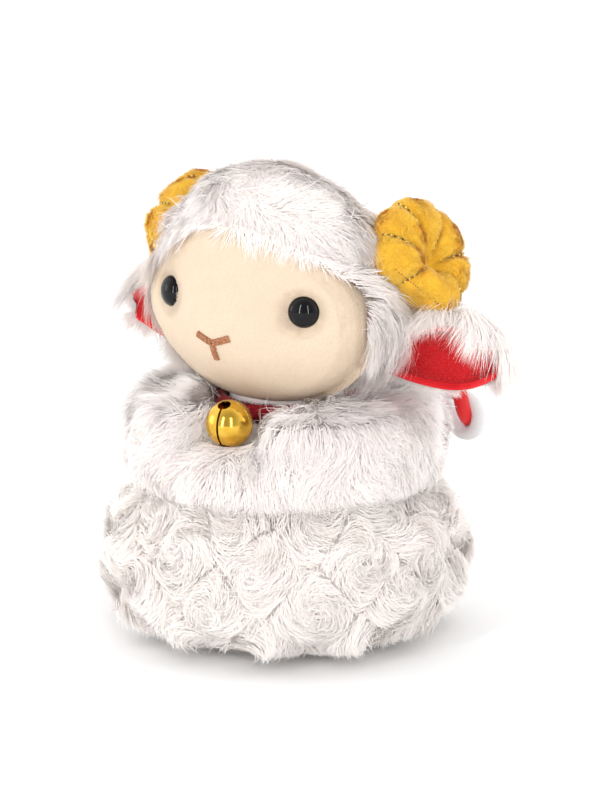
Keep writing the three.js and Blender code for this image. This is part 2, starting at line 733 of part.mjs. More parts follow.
function collarGeometry() {
  const middle = (COLLAR_INNER_RADIUS + COLLAR_OUTER_RADIUS) / 2;
  const halfThickness = (COLLAR_OUTER_RADIUS - COLLAR_INNER_RADIUS) / 2;
  const bottom = UPPER_TOP + GAP;
  const outline = [];
  const edge = 1 / Math.cos(Math.PI / COLLAR_SIDES);
  for (let side = 0; side <= COLLAR_SIDES; side += 1) {
    const angle = (2 * Math.PI * ((side % COLLAR_SIDES) + 0.5)) / COLLAR_SIDES;
    outline.push([
      middle + halfThickness * edge * Math.cos(angle),
      bottom + (COLLAR_HEIGHT / 2) * (1 + edge * Math.sin(angle)),
    ]);
  }
  return revolved(outline, BODY_STEPS);
}

// Height of the bell's middle, and distances from the neck's axis along the line that it hangs on
const bellHeight = UPPER_TOP + GAP + COLLAR_HEIGHT / 2;
const ringBack = COLLAR_OUTER_RADIUS + GAP + WIRE_RADIUS;
const ringMiddle = ringBack + BELL_RING_RADIUS;
const stapleReach = ringBack + 2 * WIRE_RADIUS + GAP;
const loopBack = ringMiddle + BELL_RING_RADIUS - 2 * WIRE_RADIUS - GAP;
const loopMiddle = loopBack + BELL_LOOP_RADIUS;
const bellMiddle = loopMiddle + BELL_LOOP_RADIUS + WIRE_RADIUS + BELL_RADIUS;

// Puts a shape made round the origin, with +Z along the line of the bell, at a distance on it
function onBellLine(geometry, reach) {
  geometry.rotateX(Math.PI / 2);
  geometry.translate(0, -reach, bellHeight);
  return geometry.rotateZ(BELL_TURN);
}

function halfShell(isFront) {
  const outline = [];
  const inner = BELL_RADIUS - BELL_WALL;
  const start = Math.asin(BELL_SEAM / 2 / inner);
  for (let step = 0; step <= BELL_ARC_STEPS; step += 1) {
    const angle = blend(start, Math.PI / 2, step / BELL_ARC_STEPS);
    outline.push([BELL_RADIUS * Math.cos(angle), BELL_RADIUS * Math.sin(angle)]);
  }
  for (let step = BELL_ARC_STEPS; step >= 0; step -= 1) {
    const angle = blend(start, Math.PI / 2, step / BELL_ARC_STEPS);
    outline.push([inner * Math.cos(angle), inner * Math.sin(angle)]);
  }
  outline[BELL_ARC_STEPS][0] = 0;
  outline[BELL_ARC_STEPS + 1][0] = 0;
  outline.push(outline[0]);
  const shell = revolved(outline, INNER_STEPS);
  return isFront ? shell : shell.rotateX(Math.PI);
}

// The slot and the round holes at its ends, cut into the bell's front
function slotCutters() {
  const reach = BELL_RADIUS * Math.sin(BELL_SLOT_HALF_ANGLE);
  const nearest = BELL_RADIUS * Math.cos(BELL_SLOT_HALF_ANGLE);
  const slot = new THREE.BoxGeometry(BELL_SLOT_WIDTH, 2 * reach, BELL_RADIUS);
  slot.translate(0, 0, nearest + BELL_RADIUS / 2);
  const cutters = [solidOf(slot)];
  for (const side of [-1, 1]) {
    const hole = cylinder(BELL_HOLE_RADIUS, BELL_RADIUS / 2, BELL_RADIUS + OVERRUN, SMALL_STEPS);
    cutters.push(solidOf(hole.rotateX(side * BELL_SLOT_HALF_ANGLE)));
  }
  return cutters;
}

function ring(radius) {
  return new THREE.TorusGeometry(radius, WIRE_RADIUS, WIRE_SIDES, SMALL_STEPS);
}

// The eye on the bell's back: a wire ring on a rivet whose head lies inside the shell
function bellLoopGeometry() {
  const eye = solidOf(ring(BELL_LOOP_RADIUS).rotateY(Math.PI / 2));
  const toShell = -BELL_LOOP_RADIUS;
  const inside = toShell - WIRE_RADIUS - BELL_WALL - GAP;
  const rivet = solidOf(revolved([
    [0, inside - BELL_RIVET_HEAD_THICKNESS],
    [BELL_RIVET_HEAD_RADIUS, inside - BELL_RIVET_HEAD_THICKNESS],
    [BELL_RIVET_HEAD_RADIUS, inside],
    [BELL_RIVET_RADIUS, inside],
    [BELL_RIVET_RADIUS, toShell],
    [0, toShell],
  ], SMALL_STEPS));
  return geometryOf(eye.add(rivet)).rotateX(Math.PI);
}

// The bar of thread that the ring hangs on, with both ends turned in to the collar
function stapleGeometry() {
  const near = COLLAR_OUTER_RADIUS + GAP;
  const points = [
    new THREE.Vector3(0, near, STAPLE_HALF_HEIGHT),
    new THREE.Vector3(0, stapleReach, STAPLE_HALF_HEIGHT),
    new THREE.Vector3(0, stapleReach, -STAPLE_HALF_HEIGHT),
    new THREE.Vector3(0, near, -STAPLE_HALF_HEIGHT),
  ];
  const path = new THREE.CurvePath();
  for (let leg = 0; leg < points.length - 1; leg += 1) {
    path.add(new THREE.LineCurve3(points[leg], points[leg + 1]));
  }
  const curve = new THREE.CatmullRomCurve3(path.getSpacedPoints(STAPLE_POINTS), false, 'centripetal');
  const geometry = tube(curve, WIRE_RADIUS, WIRE_SIDES, STAPLE_STEPS);
  geometry.rotateZ(Math.PI);
  geometry.translate(0, 0, bellHeight);
  return geometry.rotateZ(BELL_TURN);
}

// The left loop of cord, or with a clearance the room that it needs
function cordGeometry(clearance) {
  const points = bowRoute.map((point) => new THREE.Vector3(...point));
  const [first, second] = points;
  const [last, beforeLast] = points.toReversed();
  points.unshift(first.clone().add(first.clone().sub(second).setLength(clearance)));
  points.push(last.clone().add(last.clone().sub(beforeLast).setLength(clearance)));
  const route = clearance > 0 ? points : points.slice(1, -1);
  const curve = new THREE.CatmullRomCurve3(route);
  return tube(curve, CORD_DIAMETER / 2 + clearance, CORD_SIDES, CORD_STEPS);
}

function knotGeometry() {
  const knot = ellipsoid(KNOT_HALF_WIDTH, KNOT_HALF_DEPTH, KNOT_HALF_HEIGHT, SMALL_RINGS, SMALL_STEPS);
  const back = COLLAR_OUTER_RADIUS + GAP + KNOT_HALF_DEPTH;
  const height = UPPER_TOP + GAP + KNOT_HALF_HEIGHT;
  const room = cordGeometry(GAP);
  const solid = solidOf(knot.translate(0, back, height));
  return geometryOf(cutFrom(solid, solidOf(room), solidOf(mirrored(room))));
}

const sheep = new THREE.Group();

function place(name, geometry, finish) {
  const mesh = new THREE.Mesh(geometry, new THREE.MeshStandardMaterial(finish));
  mesh.name = name;
  sheep.add(mesh);
}

function addLowerBody() {
  const cavity = lowerForm(FUR_WALL, INNER_STEPS);
  const opening = solidOf(cylinder(BASE_PANEL_RADIUS + GAP, -OVERRUN, FUR_WALL + OVERRUN, BODY_STEPS));
  const cover = cutFrom(curledLowerForm(), cavity, opening);
  place('lower_body_cover', geometryOf(cover), FUR_FINISH);
  place('base_panel', cylinder(BASE_PANEL_RADIUS, 0, BASE_PANEL_THICKNESS, BODY_STEPS), FUR_FINISH);
  const stuffing = lowerForm(FUR_WALL + STUFFING_GAP, INNER_STEPS);
  place('lower_body_stuffing', geometryOf(stuffing), FILLING_FINISH);
}

function addUpperBody() {
  const lower = lowerForm(-GAP, CURL_STEPS, CURL_ARC_STEPS);
  const head = headForm(-GAP, HEAD_RINGS, BODY_STEPS);
  const outside = cutFrom(upperForm(0, BODY_STEPS), lower, head);
  const lowerInside = lowerForm(-GAP - FUR_WALL, INNER_STEPS);
  const headInside = headForm(-GAP - FUR_WALL, INNER_HEAD_RINGS, INNER_STEPS);
  const cavity = cutFrom(upperForm(FUR_WALL, INNER_STEPS), lowerInside, headInside);
  const openingTop = UPPER_BOTTOM + FUR_WALL + 2 * OVERRUN;
  const opening = solidOf(cylinder(UPPER_OPENING_RADIUS, UPPER_BOTTOM, openingTop, INNER_STEPS));
  place('upper_body_cover', geometryOf(cutFrom(outside, cavity, opening)), FUR_FINISH);
  const lowerClear = lowerForm(-GAP - FUR_WALL - STUFFING_GAP, INNER_STEPS);
  const headClear = headForm(-GAP - FUR_WALL - STUFFING_GAP, INNER_HEAD_RINGS, INNER_STEPS);
  const stuffing = cutFrom(upperForm(FUR_WALL + STUFFING_GAP, INNER_STEPS), lowerClear, headClear);
  place('upper_body_stuffing', geometryOf(stuffing), FILLING_FINISH);
}

function addHead() {
  const outer = headForm(0, HEAD_RINGS, BODY_STEPS);
  const shell = outer.subtract(headForm(FACE_WALL, INNER_HEAD_RINGS, INNER_STEPS));
  const hole = cylinder(NECK_OPENING_RADIUS, 0, HEAD_CENTRE_HEIGHT, SMALL_STEPS);
  const opening = solidOf(hole.translate(0, -NECK_LEAN, 0));
  place('head_cover', geometryOf(cutFrom(shell, faceWindow(GAP), opening)), FUR_FINISH);
  const eyeCutters = [1, -1].map((side) => solidOf(eyeGeometry(side, GAP)));
  const washerCutters = [1, -1].map((side) => solidOf(washerGeometry(side, GAP)));
  const panel = cutFrom(shell.intersect(faceWindow(0)), ...eyeCutters);
  place('face_panel', geometryOf(panel), FACE_FINISH);
  const inside = headForm(FACE_WALL + STUFFING_GAP, INNER_HEAD_RINGS, INNER_STEPS);
  const stuffing = cutFrom(inside, ...eyeCutters, ...washerCutters);
  place('head_stuffing', geometryOf(stuffing), FILLING_FINISH);
  for (const [side, name] of [[1, 'left'], [-1, 'right']]) {
    place(`${name}_eye`, eyeGeometry(side, 0), BLACK_PLASTIC_FINISH);
    place(`${name}_eye_washer`, washerGeometry(side, 0), WHITE_PLASTIC_FINISH);
  }
}

function addNose() {
  const start = (NOSE_THREAD_WIDTH + GAP) / 2;
  const armEnd = NOSE_HEIGHT + NOSE_ARM_RISE + start;
  for (const [side, name] of [[1, 'left'], [-1, 'right']]) {
    const bar = noseBar(side * start, NOSE_HEIGHT + start, side * NOSE_ARM_REACH, armEnd);
    place(`nose_${name}_stitches`, bar, BROWN_THREAD_FINISH);
  }
  const stem = noseBar(0, NOSE_HEIGHT - start / 2, 0, NOSE_HEIGHT - NOSE_STEM_DROP);
  place('nose_lower_stitches', stem, BROWN_THREAD_FINISH);
}

function addHorns() {
  const outer = hornForm(0, HORN_RINGS, HORN_STEPS);
  const head = headForm(-GAP, HEAD_RINGS, BODY_STEPS);
  const cavity = hornForm(VELOUR_WALL, INNER_HORN_RINGS, INNER_HORN_STEPS);
  const cover = cutFrom(outer, head, cavity, hornOpening());
  const headClear = headForm(-GAP - VELOUR_WALL, INNER_HEAD_RINGS, INNER_STEPS);
  const inside = hornForm(VELOUR_WALL + STUFFING_GAP, INNER_HORN_RINGS, INNER_HORN_STEPS);
  const stuffing = cutFrom(inside, headClear);
  const coverGeometry = geometryOf(cover);
  const stuffingGeometry = geometryOf(stuffing);
  place('left_horn_cover', coverGeometry, HORN_FINISH);
  place('right_horn_cover', mirrored(coverGeometry), HORN_FINISH);
  place('left_horn_stuffing', stuffingGeometry, FILLING_FINISH);
  place('right_horn_stuffing', mirrored(stuffingGeometry), FILLING_FINISH);
}

function addEars() {
  const clearance = earClearance();
  const outer = cutFrom(earLayer(GAP / 2, GAP / 2 + EAR_WALL), ...clearance);
  const lining = cutFrom(earLayer(-GAP / 2 - EAR_LINING_WALL, -GAP / 2), ...clearance);
  const outerGeometry = geometryOf(outer);
  const liningGeometry = geometryOf(lining);
  place('left_ear_outer', outerGeometry, FUR_FINISH);
  place('right_ear_outer', mirrored(outerGeometry), FUR_FINISH);
  place('left_ear_lining', liningGeometry, LINING_FINISH);
  place('right_ear_lining', mirrored(liningGeometry), LINING_FINISH);
}

function addBell() {
  const front = cutFrom(solidOf(halfShell(true)), ...slotCutters());
  place('bell_front_shell', onBellLine(geometryOf(front), bellMiddle), BRASS_FINISH);
  const rivetHole = cylinder(BELL_RIVET_RADIUS + GAP, -BELL_RADIUS - OVERRUN, 0, SMALL_STEPS);
  const back = solidOf(halfShell(false)).subtract(solidOf(rivetHole));
  place('bell_back_shell', onBellLine(geometryOf(back), bellMiddle), BRASS_FINISH);
  place('bell_loop', onBellLine(bellLoopGeometry(), loopMiddle), BRASS_FINISH);
  const flatRing = ring(BELL_RING_RADIUS).rotateX(Math.PI / 2);
  place('bell_ring', onBellLine(flatRing, ringMiddle), RED_THREAD_FINISH);
  place('bell_staple', stapleGeometry(), RED_THREAD_FINISH);
  const drop = BELL_RADIUS - BELL_WALL - GAP - PELLET_RADIUS;
  const pellet = ellipsoid(PELLET_RADIUS, PELLET_RADIUS, PELLET_RADIUS, SMALL_RINGS, SMALL_STEPS);
  place('bell_pellet', onBellLine(pellet.translate(0, -drop, 0), bellMiddle), STEEL_FINISH);
}

function addBow() {
  const cord = cordGeometry(0);
  place('left_bow_cord', cord, CORD_FINISH);
  place('right_bow_cord', mirrored(cord), CORD_FINISH);
  place('bow_knot', knotGeometry(), CORD_FINISH);
}

addLowerBody();
addUpperBody();
addHead();
addNose();
addHorns();
addEars();
place('collar', collarGeometry(), COLLAR_FINISH);
addBell();
addBow();

export default sheep;
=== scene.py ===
"""The looks of a plush sheep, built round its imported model.

Sizes are in millimetres and +Z is up, as in the model's source. Meshes are scaled to metres when they are
made. The sheep faces -Y, and its own left side is +X.
"""

import math

import bpy
import numpy as np
from mathutils import Matrix, Vector


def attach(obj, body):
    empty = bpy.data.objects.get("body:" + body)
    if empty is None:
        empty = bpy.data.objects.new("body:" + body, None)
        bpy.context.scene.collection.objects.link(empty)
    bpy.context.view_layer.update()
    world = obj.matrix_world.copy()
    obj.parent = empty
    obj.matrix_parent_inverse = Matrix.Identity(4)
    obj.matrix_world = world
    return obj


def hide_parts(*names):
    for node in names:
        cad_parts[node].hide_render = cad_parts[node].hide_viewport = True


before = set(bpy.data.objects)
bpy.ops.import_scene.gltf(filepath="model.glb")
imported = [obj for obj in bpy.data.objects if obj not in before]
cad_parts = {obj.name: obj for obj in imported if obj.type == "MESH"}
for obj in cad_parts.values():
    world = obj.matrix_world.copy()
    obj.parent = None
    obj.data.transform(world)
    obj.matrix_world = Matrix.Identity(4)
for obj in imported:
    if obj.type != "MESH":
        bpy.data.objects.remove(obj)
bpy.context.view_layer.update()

MM = 0.001
STRAND_SHARE = 1.0

# Camera: the photograph's angle, and the scale of its pixels at the object
CAMERA_AZIMUTH = math.radians(37)
CAMERA_ELEVATION = math.radians(14)
CAMERA_DISTANCE = 1100.0
PIXEL = 0.326
IMAGE_WIDTH, IMAGE_HEIGHT = 600, 800
AXIS_PIXEL_X, BASE_PIXEL_Y = 287, 622
SENSOR = 36.0

# Body sizes, as in the model's source
LOWER = dict(foot=33.0, radius=56.5, crest=34.0, bottom=0.0, widest=22.0, top=51.0)
CURL_HEIGHT, CURL_SINK, CURL_COUNT = 3.3, 1.0, 12
CURL_FIRST_Z, CURL_ROW, CURL_FADE_Z, CURL_END_Z = 9.0, 12.0, 38.0, 45.0
UPPER = dict(foot=41.0, radius=49.5, crest=40.0, bottom=45.0, widest=59.0, top=72.0)
CHEST_DROP, CHEST_RADIUS = 6.0, 22.0
CHEST_FLAT, CHEST_FADE = math.radians(24), math.radians(50)
NECK_RADIUS, NECK_TOP_RADIUS, NECK_TOP, NECK_LEAN = 19.2, 16.0, 84.0, 6.0
HEAD_Z, HEAD_FORWARD, HEAD_WIDE, HEAD_HIGH = 115.5, 11.0, 45.0, 38.0
HEAD_FRONT, HEAD_BACK = 22.0, 37.0
CROWN_TAPER, CROWN_START_Z, CROWN_END_Z = 0.16, 102.0, 124.0
MUZZLE_REACH, MUZZLE_Z, MUZZLE_WIDE, MUZZLE_HIGH = 6.5, 100.0, 18.0, 15.0
HOLLOW_DEPTH, HOLLOW_RADIUS, RELIEF_FADE = 4.0, 8.0, 0.3
FACE_WIDE, FACE_HIGH, FACE_Z, FACE_BACK = 42.5, 30.0, 106.0, 15.0
EYE_X, EYE_Z, EYE_RADIUS, EYE_DOME, EYE_RIM = 25.7, 111.4, 5.0, 4.0, 0.6
NOSE_Z, NOSE_REACH, NOSE_RISE, NOSE_DROP = 100.0, 6.1, 2.5, 5.0
HORN_PLACE = np.array([48.6, 6.0, 122.8])
HORN_LEAN, HORN_TURN = math.radians(25), math.radians(10)
HORN_WIDE, HORN_HIGH, HORN_SHIFT = 17.0, 19.0, (0.5, 3.4)
HORN_OUT, HORN_IN, HORN_BLUNT_POWER = 10.0, 17.0, 0.8
HORN_STITCHES = [math.radians(a) for a in (-55, -5, 52, 104, 150, 206)]
STITCH_WIDTH, STITCH_NOTCH_SHARE, STITCH_SINK_SHARE = math.radians(7), 0.06, 0.34
HORN_CHORD, CHORD_SHARE = math.radians(228), 0.74
COIL_SINK_SHARE, COIL_RADIUS_SHARE = 0.8, 0.36
EAR_ROOT = np.array([38.0, 5.0, 94.5])
EAR_LENGTH, EAR_DROOP, EAR_SWEEP, EAR_OVERRUN = 34.0, math.radians(1), math.radians(5), 6.0
EAR_WIDEST, EAR_WIDTHS, EAR_NECK_SHARE, EAR_NECK_RUN = 0.55, (9.0, 14.0, 4.5), 0.35, (-0.1, 0.16)
EAR_FOLDS, EAR_FACING = (math.radians(205), math.radians(115)), math.radians(12)
COLLAR_MIDDLE, COLLAR_HALF, COLLAR_Z, COLLAR_HIGH = 21.25, 1.75, 75.05, 2.75
BELL_RADIUS, BELL_WALL, BELL_TURN, BELL_REACH = 7.5, 0.5, math.radians(8), 36.7
SLOT_WIDTH, SLOT_ANGLE, HOLE_RADIUS = 0.7, math.radians(65), 2.1
STAPLE_REACH, RING_REACH, LOOP_REACH, WIRE = 24.65, 25.25, 27.35, 0.35
BOW_ROUTE = [
    (9.4, 27.6, 78.4), (14.6, 29.8, 80.2), (20.6, 34.2, 80.8), (26.0, 39.7, 79.6),
    (30.3, 44.6, 76.2), (34.0, 48.6, 71.4), (36.6, 51.2, 66), (36.0, 53.2, 61.4),
    (32.0, 55.4, 59), (26.9, 56.9, 59.6), (22.4, 56.8, 62.8), (18.6, 55.4, 67.4),
    (15, 52.6, 72), (11.4, 48.6, 75.4), (7.8, 43.4, 77.2), (5.4, 37.2, 77.2),
]
SIDES = {"left": 1, "right": -1}

# How far the cloth that the fur grows from lies inside the model's covers, which are at the pile's middle
SKIN_INSET = 1.8

# Where the upper roll's cloth is fuller on top than the model's: beside the bell, and not below the bow
FULL_TOP, FULL_RISE = 75.5, 5.0
FULL_TURN = ((0.3, 0.5), (2.6, 2.3))
FULL_RADIUS = ((23.5, 27.0), (49.0, 43.0))

UP = np.array([0, 0, 1.0])
LEVEL = np.array([1, 1, 0])
HALF_TURN_ABOUT_X = np.array([1, -1, -1])
NEAR_AXIS = 0.02


def add_camera():
    sin_a, cos_a = math.sin(CAMERA_AZIMUTH), math.cos(CAMERA_AZIMUTH)
    sin_e, cos_e = math.sin(CAMERA_ELEVATION), math.cos(CAMERA_ELEVATION)
    right = Vector((cos_a, sin_a, 0))
    forward = Vector((-sin_a * cos_e, cos_a * cos_e, -sin_e))
    up = right.cross(forward)
    target = right * ((IMAGE_WIDTH / 2 - AXIS_PIXEL_X) * PIXEL)
    target += up * ((BASE_PIXEL_Y - IMAGE_HEIGHT / 2) * PIXEL)
    data = bpy.data.cameras.new("camera")
    data.sensor_width = SENSOR
    data.lens = SENSOR * CAMERA_DISTANCE / (IMAGE_HEIGHT * PIXEL)
    camera = bpy.data.objects.new("camera", data)
    bpy.context.scene.collection.objects.link(camera)
    turn = Matrix((right, up, -forward)).transposed()
    camera.matrix_world = Matrix.Translation((target - forward * CAMERA_DISTANCE) * MM) @ turn.to_4x4()
    bpy.context.scene.camera = camera


add_camera()


# Numbers and surfaces


def unit(vectors):
    return vectors / np.maximum(np.linalg.norm(vectors, axis=-1, keepdims=True), 1e-9)


def smooth(low, high, value):
    """A smooth step from 0 at low to 1 at high. It falls where high is the smaller."""
    share = np.clip((value - low) / (high - low), 0, 1)
    return share * share * (3 - 2 * share)


def window(value, rise, fall):
    return smooth(*rise, value) * smooth(*fall, value)


def column(values):
    return values[:, None]


def turns(count):
    return 2 * np.pi * np.arange(count) / count


def shares(count):
    return np.arange(count) / count


def grid(along, across):
    return np.meshgrid(along, across, indexing="ij")


def round_axis(radius, turn, height):
    """Points round the Z axis."""
    return np.stack(np.broadcast_arrays(radius * np.cos(turn), radius * np.sin(turn), height), axis=-1)


def off_axis(points):
    return np.hypot(points[..., 0], points[..., 1])


def flatten(vectors, normals):
    """The part of each vector that lies in the surface."""
    return vectors - normals * np.sum(vectors * normals, axis=-1, keepdims=True)


def waves(points, size, seed, count=9):
    """A smooth random field over space, mostly between -1 and 1."""
    rng = np.random.default_rng(seed)
    total = np.zeros(points.shape[:-1])
    for _ in range(count):
        direction = unit(rng.normal(size=3))
        rate = 2 * np.pi / size / rng.uniform(0.7, 1.6)
        total += np.sin(points @ direction * rate + rng.uniform(0, 2 * np.pi))
    return total / math.sqrt(count / 2)


def wander(points, size, seed):
    """A smooth random field of vectors."""
    return np.stack([waves(points, size, seed + axis) for axis in range(3)], axis=-1)


HASH_WEIGHTS, HASH_AXIS, HASH_SEED, HASH_SCALE = np.array([12.9898, 78.233, 37.719]), 4.17, 1.37, 43758.5453


def hashed(cells, seed):
    """Three repeatable random shares for each whole-number cell."""
    rows = []
    for axis in range(3):
        weights = HASH_WEIGHTS + axis * HASH_AXIS + seed * HASH_SEED
        rows.append(np.modf(np.abs(np.sin(cells @ weights) * HASH_SCALE))[0])
    return np.stack(rows, axis=-1)


def nearest_of(points, candidates):
    """For each point, the nearest of its candidates, and the random share that comes with that one."""
    best = np.full(len(points), np.inf)
    place, luck = np.zeros_like(points), np.zeros(len(points))
    for centre, share in candidates:
        away = np.sum((centre - points) ** 2, axis=1)
        near = away < best
        best[near], place[near], luck[near] = away[near], centre[near], share[near]
    return place, luck


CURL_TURN_JITTER, CURL_ROW_JITTER = 0.3, 0.5


def curl_centres(points, seed):
    """The middles of the lower roll's curls near each point, at the point's own distance from the axis."""
    angle = np.arctan2(points[:, 1], points[:, 0])
    nearest_row = np.round((points[:, 2] - CURL_FIRST_Z) / CURL_ROW)
    for row in (nearest_row - 1, nearest_row, nearest_row + 1):
        shift = np.mod(row, 2) / 2
        nearest_number = np.round(angle * CURL_COUNT / (2 * np.pi) - shift)
        for number in (nearest_number - 1, nearest_number, nearest_number + 1):
            random = hashed(np.stack([row, np.mod(number, CURL_COUNT), 0 * row], axis=-1), seed)
            place = number + shift + CURL_TURN_JITTER * (random[:, 0] - 0.5)
            height = CURL_FIRST_Z + CURL_ROW * (row + CURL_ROW_JITTER * (random[:, 1] - 0.5))
            yield round_axis(off_axis(points), 2 * np.pi * place / CURL_COUNT, height), random[:, 2]


def scattered_centres(points, size, seed):
    """Centres about size apart, in the cells round each point."""
    cells = np.floor(points / size)
    for step in np.ndindex(3, 3, 3):
        cell = cells + np.array(step) - 1
        random = hashed(cell, seed)
        yield (cell + random) * size, random[:, 0]


def roll_point(roll, inset, along, around):
    """A point of a roll: along runs from the foot, 0, over the widest ring, 0.5, to the crest, 1."""
    outward = along < 0.5
    angle = np.where(outward, along, along - 0.5) * np.pi
    foot, widest, crest = (roll[k] - inset for k in ("foot", "radius", "crest"))
    low, middle, top = roll["bottom"] + inset, roll["widest"], roll["top"] - inset
    radius = np.where(
        outward, foot + (widest - foot) * np.sin(angle), crest + (widest - crest) * np.cos(angle)
    )
    height = np.where(
        outward, low + (middle - low) * (1 - np.cos(angle)), middle + (top - middle) * np.sin(angle)
    )
    return round_axis(radius, 2 * np.pi * around, height)


def curl_lift(angle, height):
    """How far the curls lift the lower roll's skin, in staggered rows."""
    rows = np.cos(np.pi * (height - CURL_FIRST_Z) / CURL_ROW) * np.cos(CURL_COUNT * angle)
    fade = smooth(0, CURL_FIRST_Z, height) * (1 - smooth(CURL_FADE_Z, CURL_END_Z, height))
    return (CURL_HEIGHT / 2 - CURL_SINK + CURL_HEIGHT / 2 * rows) * fade


def lower_surface(along, around, inset=SKIN_INSET):
    plain = roll_point(LOWER, 0, along, around)
    lift = curl_lift(2 * np.pi * around, plain[..., 2])
    return roll_point(LOWER, inset - lift, along, around)


def from_bell(points):
    """How far round the upper roll each point is from the bell, in radians."""
    return np.abs(np.arctan2(points[..., 0], -points[..., 1]) - BELL_TURN)


def upper_surface(along, around, inset=SKIN_INSET):
    """The upper roll; from 1 to 1.5 along, its top runs in to the neck."""
    point = roll_point(UPPER, inset, np.minimum(along, 1), around)
    inward = 1 - np.clip(along - 1, 0, 0.5) * 2 * (1 - (NECK_RADIUS - 1) / (UPPER["crest"] - inset))
    point[..., :2] *= inward[..., None]
    radius, turn = off_axis(point), from_bell(point)
    drop = CHEST_DROP * (1 - smooth(CHEST_FLAT, CHEST_FADE, turn)) * np.minimum(1, radius / CHEST_RADIUS)
    point[..., 2] -= drop * smooth(UPPER["widest"], UPPER["top"], point[..., 2])
    full = window(turn, *FULL_TURN) * window(radius, *FULL_RADIUS)
    full *= smooth(UPPER["widest"], UPPER["widest"] + FULL_RISE, point[..., 2])
    point[..., 2] += full * np.maximum(0, FULL_TOP - point[..., 2])
    return point


def face_relief(x, z):
    muzzle = (x / MUZZLE_WIDE) ** 2 + ((z - MUZZLE_Z) / MUZZLE_HIGH) ** 2
    hollow = ((np.abs(x) - EYE_X) ** 2 + (z - EYE_Z) ** 2) / HOLLOW_RADIUS**2
    return MUZZLE_REACH * np.exp(-muzzle) - HOLLOW_DEPTH * np.exp(-hollow)


def head_depth(x, z, back, inset):
    front = (HEAD_FRONT - inset) * back - face_relief(x, z) * np.minimum(1, -back / RELIEF_FADE)
    return np.where(back >= 0, (HEAD_BACK - inset) * back, front) - HEAD_FORWARD


def width_share(z):
    """The share of the head's full width at a height: the crown is narrower than the cheeks."""
    return 1 - CROWN_TAPER * smooth(CROWN_START_Z, CROWN_END_Z, z)


def head_surface(down, around, inset=SKIN_INSET):
    polar, turn = np.pi * down, 2 * np.pi * around
    z = HEAD_Z + (HEAD_HIGH - inset) * np.cos(polar)
    x = (HEAD_WIDE - inset) * width_share(z) * np.sin(polar) * np.cos(turn)
    return np.stack([x, head_depth(x, z, np.sin(polar) * np.sin(turn), inset), z], axis=-1)


def face_place(reach, turn):
    """The x and z of a place in the face panel's oval."""
    return FACE_WIDE * reach * np.cos(turn), FACE_Z + FACE_HIGH * reach * np.sin(turn)


def face_point(x, z):
    """The point of the face straight in front of a place on the head."""
    room = 1 - (x / HEAD_WIDE / width_share(z)) ** 2 - ((z - HEAD_Z) / HEAD_HIGH) ** 2
    y = head_depth(x, z, -np.sqrt(np.maximum(room, 0)), 0.0)
    return np.stack([x + 0 * z, y, z + 0 * x], axis=-1)


def face_normal(x, z, step=0.3):
    across = face_point(x + step, z) - face_point(x - step, z)
    up = face_point(x, z + step) - face_point(x, z - step)
    return unit(np.cross(across, up))


def on_face(x, z, lift):
    return face_point(x, z) + lift * face_normal(x, z)


BEHIND_FACE = 9.0


def face_reach(points):
    """How far out a point of the head's front is: 1 at the face panel's edge, and large behind it."""
    reach = np.hypot(points[..., 0] / FACE_WIDE, (points[..., 2] - FACE_Z) / FACE_HIGH)
    return np.where(points[..., 1] < -FACE_BACK + 4, reach, BEHIND_FACE)


def horn_local(down, around, inset):
    polar, angle = np.pi * down, 2 * np.pi * around
    stitched = np.zeros(np.broadcast(down, around).shape)
    for stitch in HORN_STITCHES:
        away = np.arctan2(np.sin(angle - stitch), np.cos(angle - stitch))
        stitched = np.maximum(stitched, np.exp(-((away / STITCH_WIDTH) ** 2)))
    toward = np.maximum(np.cos(angle - HORN_CHORD), CHORD_SHARE)
    notch = (1 - STITCH_NOTCH_SHARE * stitched) * (CHORD_SHARE / toward)
    out = np.sin(polar) ** HORN_BLUNT_POWER
    back = out * ((HORN_WIDE - inset) * np.cos(angle) * notch + HORN_SHIFT[0])
    up = out * ((HORN_HIGH - inset) * np.sin(angle) * notch + HORN_SHIFT[1])
    outer = down <= 0.5
    bulge = np.where(outer, HORN_OUT, HORN_IN) - inset
    curl = np.where(outer, COIL_SINK_SHARE * np.exp(-((out / COIL_RADIUS_SHARE) ** 2)), 0)
    quilted = 1 - STITCH_SINK_SHARE * stitched * np.minimum(1, out / COIL_RADIUS_SHARE)
    return np.stack([back, up, bulge * np.cos(polar) * (1 - curl) * quilted], axis=-1)


def horn_axes():
    """The horn's own axes: to its back, up along it, and out of its coiled face."""
    lean_c, lean_s = math.cos(HORN_LEAN), math.sin(HORN_LEAN)
    turn_c, turn_s = math.cos(HORN_TURN), math.sin(HORN_TURN)
    return np.array([
        [turn_s, turn_c, 0],
        [-lean_s * turn_c, lean_s * turn_s, lean_c],
        [lean_c * turn_c, -lean_c * turn_s, lean_s],
    ])


def horn_surface(down, around, inset=0.0):
    return horn_local(down, around, inset) @ horn_axes() + HORN_PLACE


def ear_fold(along):
    return EAR_FOLDS[0] + (EAR_FOLDS[1] - EAR_FOLDS[0]) * along


